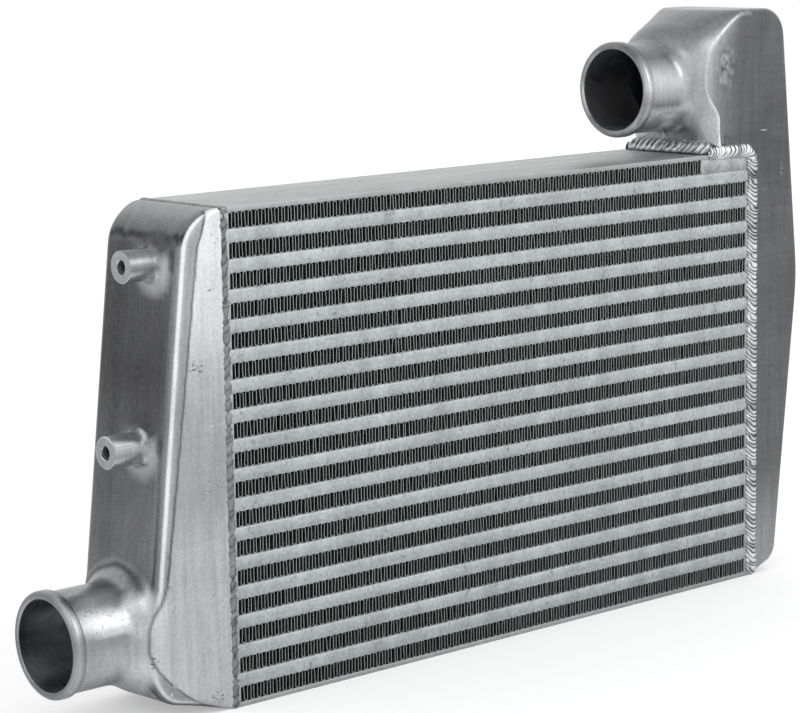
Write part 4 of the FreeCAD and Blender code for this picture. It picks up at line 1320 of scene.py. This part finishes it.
def outlet_shade(hood, ports):
    """The painted reflections and shade of the outlet casting.

    The flat front goes by height, and carries a painted highlight beside the dome's crease. The dome goes by
    the angle from the front near that crease, and by the angle upwards further on.
    """
    # Painted levels by the way each part faces: the end, the back, the top and high on the hood; the bore is
    # painted light.
    end_tone, back_tone, top_tone, high_tone, bore_tone = 0.36, 0.40, 0.25, 0.27, 0.95
    flat_turn = 1.5
    crease_step, highlight_reach = 0.0257, 0.010

    def shade(point, normal):
        x, y, z = point.T
        above = z - ports.outlet_height
        turned = round_angle(normal[:, 1], normal[:, 2])
        facing = np.degrees(np.arccos(np.clip(-normal[:, 1], -1, 1)))
        rise = np.degrees(np.arcsin(np.clip(normal[:, 2], -1, 1)))
        values = mix(np.interp(z, *OUTLET_FRONT), end_tone, np.clip(normal[:, 0], 0, 1))
        values = np.where(normal[:, 1] > 0.5, back_tone, values)
        values = mix(values, top_tone, smooth_step(normal[:, 2], 0.3, 0.7))
        on_hood = (x < HALF_CORE - 0.0005) & (z > CORE_TOP)
        # A painted highlight along the dome's crease, lighter low on the hood and fading towards the outlet
        # tank.
        near = np.interp(facing, *DOME_NEAR) * (1 + 0.35 * smooth_step(-z, -0.338, -0.326))
        near = mix(near, high_tone, smooth_step(x, 0.203, 0.226))
        dome = mix(near, np.interp(rise, *DOME_FAR), smooth_step(facing, 36, 52))
        values = np.where(on_hood & (facing > flat_turn), dome, values)
        # A painted highlight on the flat front beside the dome's crease.
        crease = hood.dome_reach - crease_step - np.hypot(x - hood.dome_centre, np.maximum(above, 0))
        painted_crease_highlight = 0.44 * np.exp(-np.maximum(crease, 0) / highlight_reach) * smooth_step(-x, -0.222, -0.200)
        values = np.where(on_hood & (facing <= flat_turn), values + painted_crease_highlight * (z > 0.306), values)
        beside = np.hypot(y, above)
        rod = (beside < ports.bead + 0.0005) * smooth_step(-x, -0.176, -0.164)
        values = mix(values, np.interp(turned, *OUTLET_TUBE), rod)
        bead_tones = bead_shade(point, turned, OUTLET_MOUTH, ports.bead_width, OUTLET_BEAD)
        values = np.where(x < OUTLET_MOUTH + BEAD_SPAN * ports.bead_width, bead_tones, values)
        bore = on_bore(point, normal, ports.outlet_height, OUTLET_MOUTH, ports.bore)
        return np.where(bore, bore_tone, values)

    return shade


# Operators.

class InletTank(bpy.types.Operator):
    """Build the inlet tank: a hollow casting with a blended port and two tapped bosses"""

    bl_idname = "cooler.inlet_tank"
    bl_label = "Inlet tank"

    def execute(self, context):
        tanks = context.scene.cooler_tanks
        ports = context.scene.cooler_ports
        bosses = context.scene.cooler_bosses
        rounds = np.array([tanks.inlet_foot_round, tanks.inlet_top_round])
        edges = (tanks.inlet_edge_round, tanks.inlet_edge_round - tanks.wall)
        tank = inlet_distance(tanks)
        patch = Patch()
        tank_shell(patch, tanks, inlet_corners, rounds, edges, around=31, straight=56, turn=30, flats=16,
                   gather=2.0)
        inlet_port(patch, tanks, ports, tank)
        for height, face, foot, _ in boss_rows(bosses):
            tapped_boss(patch, bosses, tank, height, face, foot)
        mesh = patch.mesh("inlet_casting")
        # Painted reflections and shade stored on the inlet casting's points.
        tone(mesh, inlet_shade(ports, bosses))
        add_piece("inlet_casting", mesh, finish("cast_metal"), "cast_metal", "inlet_tank")
        return {"FINISHED"}


class OutletTank(bpy.types.Operator):
    """Build the outlet tank: a hollow casting with a hood and a port that turns back over the core"""

    bl_idname = "cooler.outlet_tank"
    bl_label = "Outlet tank"

    def execute(self, context):
        tanks = context.scene.cooler_tanks
        hood = context.scene.cooler_hood
        ports = context.scene.cooler_ports
        rounds = np.array([tanks.outlet_foot_round, tanks.outlet_knee_round, tanks.outlet_head_round])
        inner_edge = 0.001
        patch = Patch()
        tank_shell(patch, tanks, outlet_corners, rounds, (tanks.outlet_edge_round, inner_edge), around=11)
        hood_and_port(patch, tanks, hood, ports)
        mesh = patch.mesh("outlet_casting", 30)
        # Painted reflections and shade stored on the outlet casting's points.
        tone(mesh, outlet_shade(hood, ports))
        add_piece("outlet_casting", mesh, finish("cast_metal"), "cast_metal", "outlet_tank")
        return {"FINISHED"}


class Plates(bpy.types.Operator):
    """Build the two side plates, the corner block and the end bars, their edges lightly rounded"""

    bl_idname = "cooler.plates"
    bl_label = "Plates and bars"

    def execute(self, context):
        edge = context.scene.cooler_core.edge_round
        for name in ("top_side_plate", "bottom_side_plate", "corner_block"):
            patch = Patch()
            rounded_bar(patch, *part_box(name), edge)
            rough = finish("block_metal" if name == "corner_block" else "plate_metal")
            add_piece(name + "_dressed", patch.mesh(name, 40), rough, "plate_metal", name)
        for name, first in (("inlet_end_bars", 0), ("outlet_end_bars", 1)):
            low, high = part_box(name)
            patch = Patch()
            for fin in AIR_FINS[first:]:
                row_low, row_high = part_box(fin)
                rounded_bar(patch, (low.x, low.y, row_low.z), (high.x, high.y, row_high.z), edge)
            add_piece(name + "_dressed", patch.mesh(name, 40), finish("bar_metal"), "bar_metal", name)
        return {"FINISHED"}


class Tubes(bpy.types.Operator):
    """Build the flat tubes, each showing the edges of its sheets and its long bars"""

    bl_idname = "cooler.tubes"
    bl_label = "Tubes"

    def execute(self, context):
        core = context.scene.cooler_core
        for name in TUBES:
            add_piece(name + "_dressed", tube_mesh(name, core), finish("tube_metal"), "tube_metal", name)
        return {"FINISHED"}


class AirFins(bpy.types.Operator):
    """Build the rows of cooling fin at their true pitch"""

    bl_idname = "cooler.air_fins"
    bl_label = "Cooling fins"

    def execute(self, context):
        draw = np.random.default_rng(context.scene.cooler_studio.seed)
        for name in AIR_FINS:
            mesh = fin_mesh(name, context.scene.cooler_core, draw)
            add_piece(name + "_folded", mesh, finish("air_fin_metal"), "air_fin_metal", name)
        return {"FINISHED"}


class ChargeFins(bpy.types.Operator):
    """Give the fins inside the tubes their finish"""

    bl_idname = "cooler.charge_fins"
    bl_label = "Fins inside the tubes"

    def execute(self, context):
        for name in CHARGE_FINS:
            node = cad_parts[name]
            node.data.materials.clear()
            node.data.materials.append(finish("charge_fin_metal"))
        return {"FINISHED"}


class Welds(bpy.types.Operator):
    """Build the weld beads with their ripples"""

    bl_idname = "cooler.welds"
    bl_label = "Welds"

    def execute(self, context):
        welds = context.scene.cooler_welds
        face = context.scene.cooler_hood.face
        draw = np.random.default_rng(context.scene.cooler_studio.seed + 1)
        patch = Patch()
        self.inlet_bead(patch, welds, draw)
        add_piece("inlet_weld_bead", patch.mesh("inlet_weld_bead", 60), finish("weld_metal"), "weld_metal",
                  "inlet_weld")
        patch = Patch()
        for side in (-1.0, 1.0):
            self.outlet_bead(patch, welds, face, side, draw)
        add_piece("outlet_weld_bead", patch.mesh("outlet_weld_bead", 60), finish("weld_metal"), "weld_metal",
                  "outlet_weld")
        patch = Patch()
        self.hood_bead(patch, welds, face, draw)
        add_piece("hood_weld_bead", patch.mesh("hood_weld_bead", 60), finish("weld_metal"), "weld_metal",
                  "hood_weld")
        return {"FINISHED"}

    def inlet_bead(self, patch, welds, draw):
        """One bead up the front, over the top and down the back. At each corner two points lie together."""
        apart = 1e-6
        depth = HALF_DEPTH
        low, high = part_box("inlet_weld")
        place = (low.x + high.x) / 2
        path = np.array([(place, -depth, 0.0), (place, -depth, CORE_TOP), (place, -depth, CORE_TOP),
                         (place, depth, CORE_TOP), (place, depth, CORE_TOP), (place, depth, 0.0)])
        path += np.array([0, apart, 0]) * np.arange(len(path))[:, None]
        outward = np.array([(0, -1, 0), (0, -1, 0), (0, 0, 1), (0, 0, 1), (0, 1, 0), (0, 1, 0)], float)
        bead(patch, path, outward, np.array([1.0, 0.0, 0.0]), welds.inlet_width, welds.inlet_proud,
             welds.ripple_pitch * 2.2, draw, depth=0.15, contrast=0.6, light=0.40, rough_edge=0.38,
             slant=0.4)

    def outlet_bead(self, patch, welds, face, side, draw):
        """A bead up the tank's seam on one side, which turns and runs along the hood's foot."""
        turn_radius, lift, past_face, turned_share = 0.0085, 0.0004, 0.005, 0.92
        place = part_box("outlet_weld")[1].x - welds.outlet_width / 2
        level = CORE_TOP + lift
        path, way = turning((place, side * HALF_DEPTH, 0.0), (place, side * HALF_DEPTH, level),
                            (face - past_face, side * HALF_DEPTH, level), turn_radius)
        out = np.array([0, side, 0])
        wide = np.interp(np.arange(len(path)), (0, 4, len(path) - 3),
                         (welds.outlet_width, welds.outlet_width * turned_share, welds.plate_width))
        bead(patch, path, out, np.cross(way, out), wide, welds.outlet_proud, welds.ripple_pitch, draw,
             depth=0.4, contrast=1.2, light=1.12, rough_edge=0.1, slant=side * 0.22)

    def hood_bead(self, patch, welds, face, draw):
        """A coarse fillet across the foot of the hood's face."""
        foot = np.array([face - 0.0045, 0.0, CORE_TOP + 0.0044])
        ends, sides = 0.0372, 0.030
        path = foot + np.array([(0.003, -ends, -0.0008), (0, -sides, 0),
                                (0, sides, 0), (0.003, ends, -0.0008)])
        bead(patch, path, np.array([-0.62, 0.0, 0.78]), np.array([0.78, 0.0, 0.62]), welds.hood_width,
             welds.hood_proud, welds.ripple_pitch * 1.6, draw, depth=0.6, contrast=0.75, light=0.85,
             rough_edge=0.16)


# The camera's right and up, solved with its place from the core's front face.

CAMERA_RIGHT = (0.74472825, -0.6671677, -0.01634299)
CAMERA_UP = (0.12072891, 0.11059856, 0.98650519)

# Each lamp: its name, its place, its size in metres and its power in watts.

LAMPS = (
    ("key", (1.1, -2.0, 1.7), 1.4, 8.0),
    ("side", (-2.2, -0.5, 1.3), 1.2, 1.5),
)


class StudioStage(bpy.types.Operator):
    """Set up the floor, the light and the camera"""

    bl_idname = "cooler.stage"
    bl_label = "Studio"

    def execute(self, context):
        scene = context.scene
        self.lay_floor(scene)
        self.light(scene)
        self.aim_camera(scene)
        scene.view_settings.view_transform = "Standard"
        return {"FINISHED"}

    def lay_floor(self, scene):
        """A pale floor, which shows the camera a little light of its own."""
        span = 4.0
        glow = (0.32, 0.32, 0.32)
        material, paint = new_paint("floor")
        path = paint.node("ShaderNodeLightPath", {}, {}, "Is Camera Ray")
        paint.surface({
            "Base Color": (*scene.cooler_finishes.floor, 1.0),
            "Roughness": 0.9,
            "Specular IOR Level": 0.0,
            "Emission Color": paint.lighter(glow, path),
            "Emission Strength": 1.0,
        })
        patch = Patch()
        line = np.linspace(-span, span, 3)
        patch.grid(np.stack(np.broadcast_arrays(line[:, None], line[None], 0.0), axis=-1))
        mesh = patch.mesh("floor")
        if mesh.polygons[0].normal.z < 0:
            mesh.flip_normals()
        mesh.materials.append(material)
        floor = bpy.data.objects.new("floor", mesh)
        scene.collection.objects.link(floor)

    def light(self, scene):
        """A white world, a little dimmer for diffuse rays, and two square lamps."""
        dim = 0.8
        world = bpy.data.worlds.new("studio")
        scene.world = world
        sky = Paint(world)
        rays = sky.node("ShaderNodeLightPath", {}, {}, "Is Camera Ray")
        for kind in ("Is Glossy Ray", "Is Transmission Ray"):
            rays = rays + sky.node("ShaderNodeLightPath", {}, {}, kind)
        light = sky.node("ShaderNodeBackground", {}, {"Color": (1.0, 1.0, 1.0, 1.0),
                                                       "Strength": dim + (1.0 - dim) * rays})
        sky.node("ShaderNodeOutputWorld", {}, {"Surface": light})
        for name, place, size, power in LAMPS:
            lamp = bpy.data.lights.new(name, "AREA")
            lamp.shape = "SQUARE"
            lamp.size = size
            lamp.energy = power
            holder = bpy.data.objects.new(name, lamp)
            scene.collection.objects.link(holder)
            look = Vector((0.0, 0.0, 0.2)) - Vector(place)
            turned = look.to_track_quat("-Z", "Y").to_matrix().to_4x4()
            holder.matrix_world = Matrix.Translation(place) @ turned

    def aim_camera(self, scene):
        """The camera at the photo's place, turned as the photo was taken."""
        studio = scene.cooler_studio
        camera = bpy.data.cameras.new("camera")
        camera.sensor_width = 36.0
        camera.lens = studio.lens
        camera.clip_end = 50.0
        holder = bpy.data.objects.new("camera", camera)
        scene.collection.objects.link(holder)
        right, up = Vector(CAMERA_RIGHT), Vector(CAMERA_UP)
        turned = Matrix((right, up, right.cross(up))).transposed().to_4x4()
        holder.matrix_world = Matrix.Translation(studio.camera) @ turned
        scene.camera = holder


STEPS = (InletTank, OutletTank, Plates, Tubes, AirFins, ChargeFins, Welds, StudioStage)
SETTINGS = {
    "cooler_tanks": TankSizes,
    "cooler_hood": HoodSizes,
    "cooler_ports": PortSizes,
    "cooler_bosses": BossSizes,
    "cooler_core": CoreSizes,
    "cooler_welds": WeldSizes,
    "cooler_finishes": Finishes,
    "cooler_studio": Studio,
}


class CoolerPanel(bpy.types.Panel):
    """Lists the steps in their order"""

    bl_idname = "VIEW3D_PT_cooler"
    bl_label = "Charge air cooler"
    bl_space_type = "VIEW_3D"
    bl_region_type = "UI"
    bl_category = "Cooler"

    def draw(self, context):
        for step in STEPS:
            self.layout.operator(step.bl_idname)


def register():
    """Add the settings, the steps and the panel."""
    for group in SETTINGS.values():
        bpy.utils.register_class(group)
    for step in STEPS:
        bpy.utils.register_class(step)
    bpy.utils.register_class(CoolerPanel)
    for name, group in SETTINGS.items():
        setattr(bpy.types.Scene, name, PointerProperty(type=group))


def unregister():
    """Take them out again."""
    for name in SETTINGS:
        delattr(bpy.types.Scene, name)
    bpy.utils.unregister_class(CoolerPanel)
    for step in reversed(STEPS):
        bpy.utils.unregister_class(step)
    for group in SETTINGS.values():
        bpy.utils.unregister_class(group)


def main():
    """Run every step."""
    register()
    for step in STEPS:
        group, name = step.bl_idname.split(".")
        getattr(getattr(bpy.ops, group), name)()


if __name__ == "__main__":
    main()
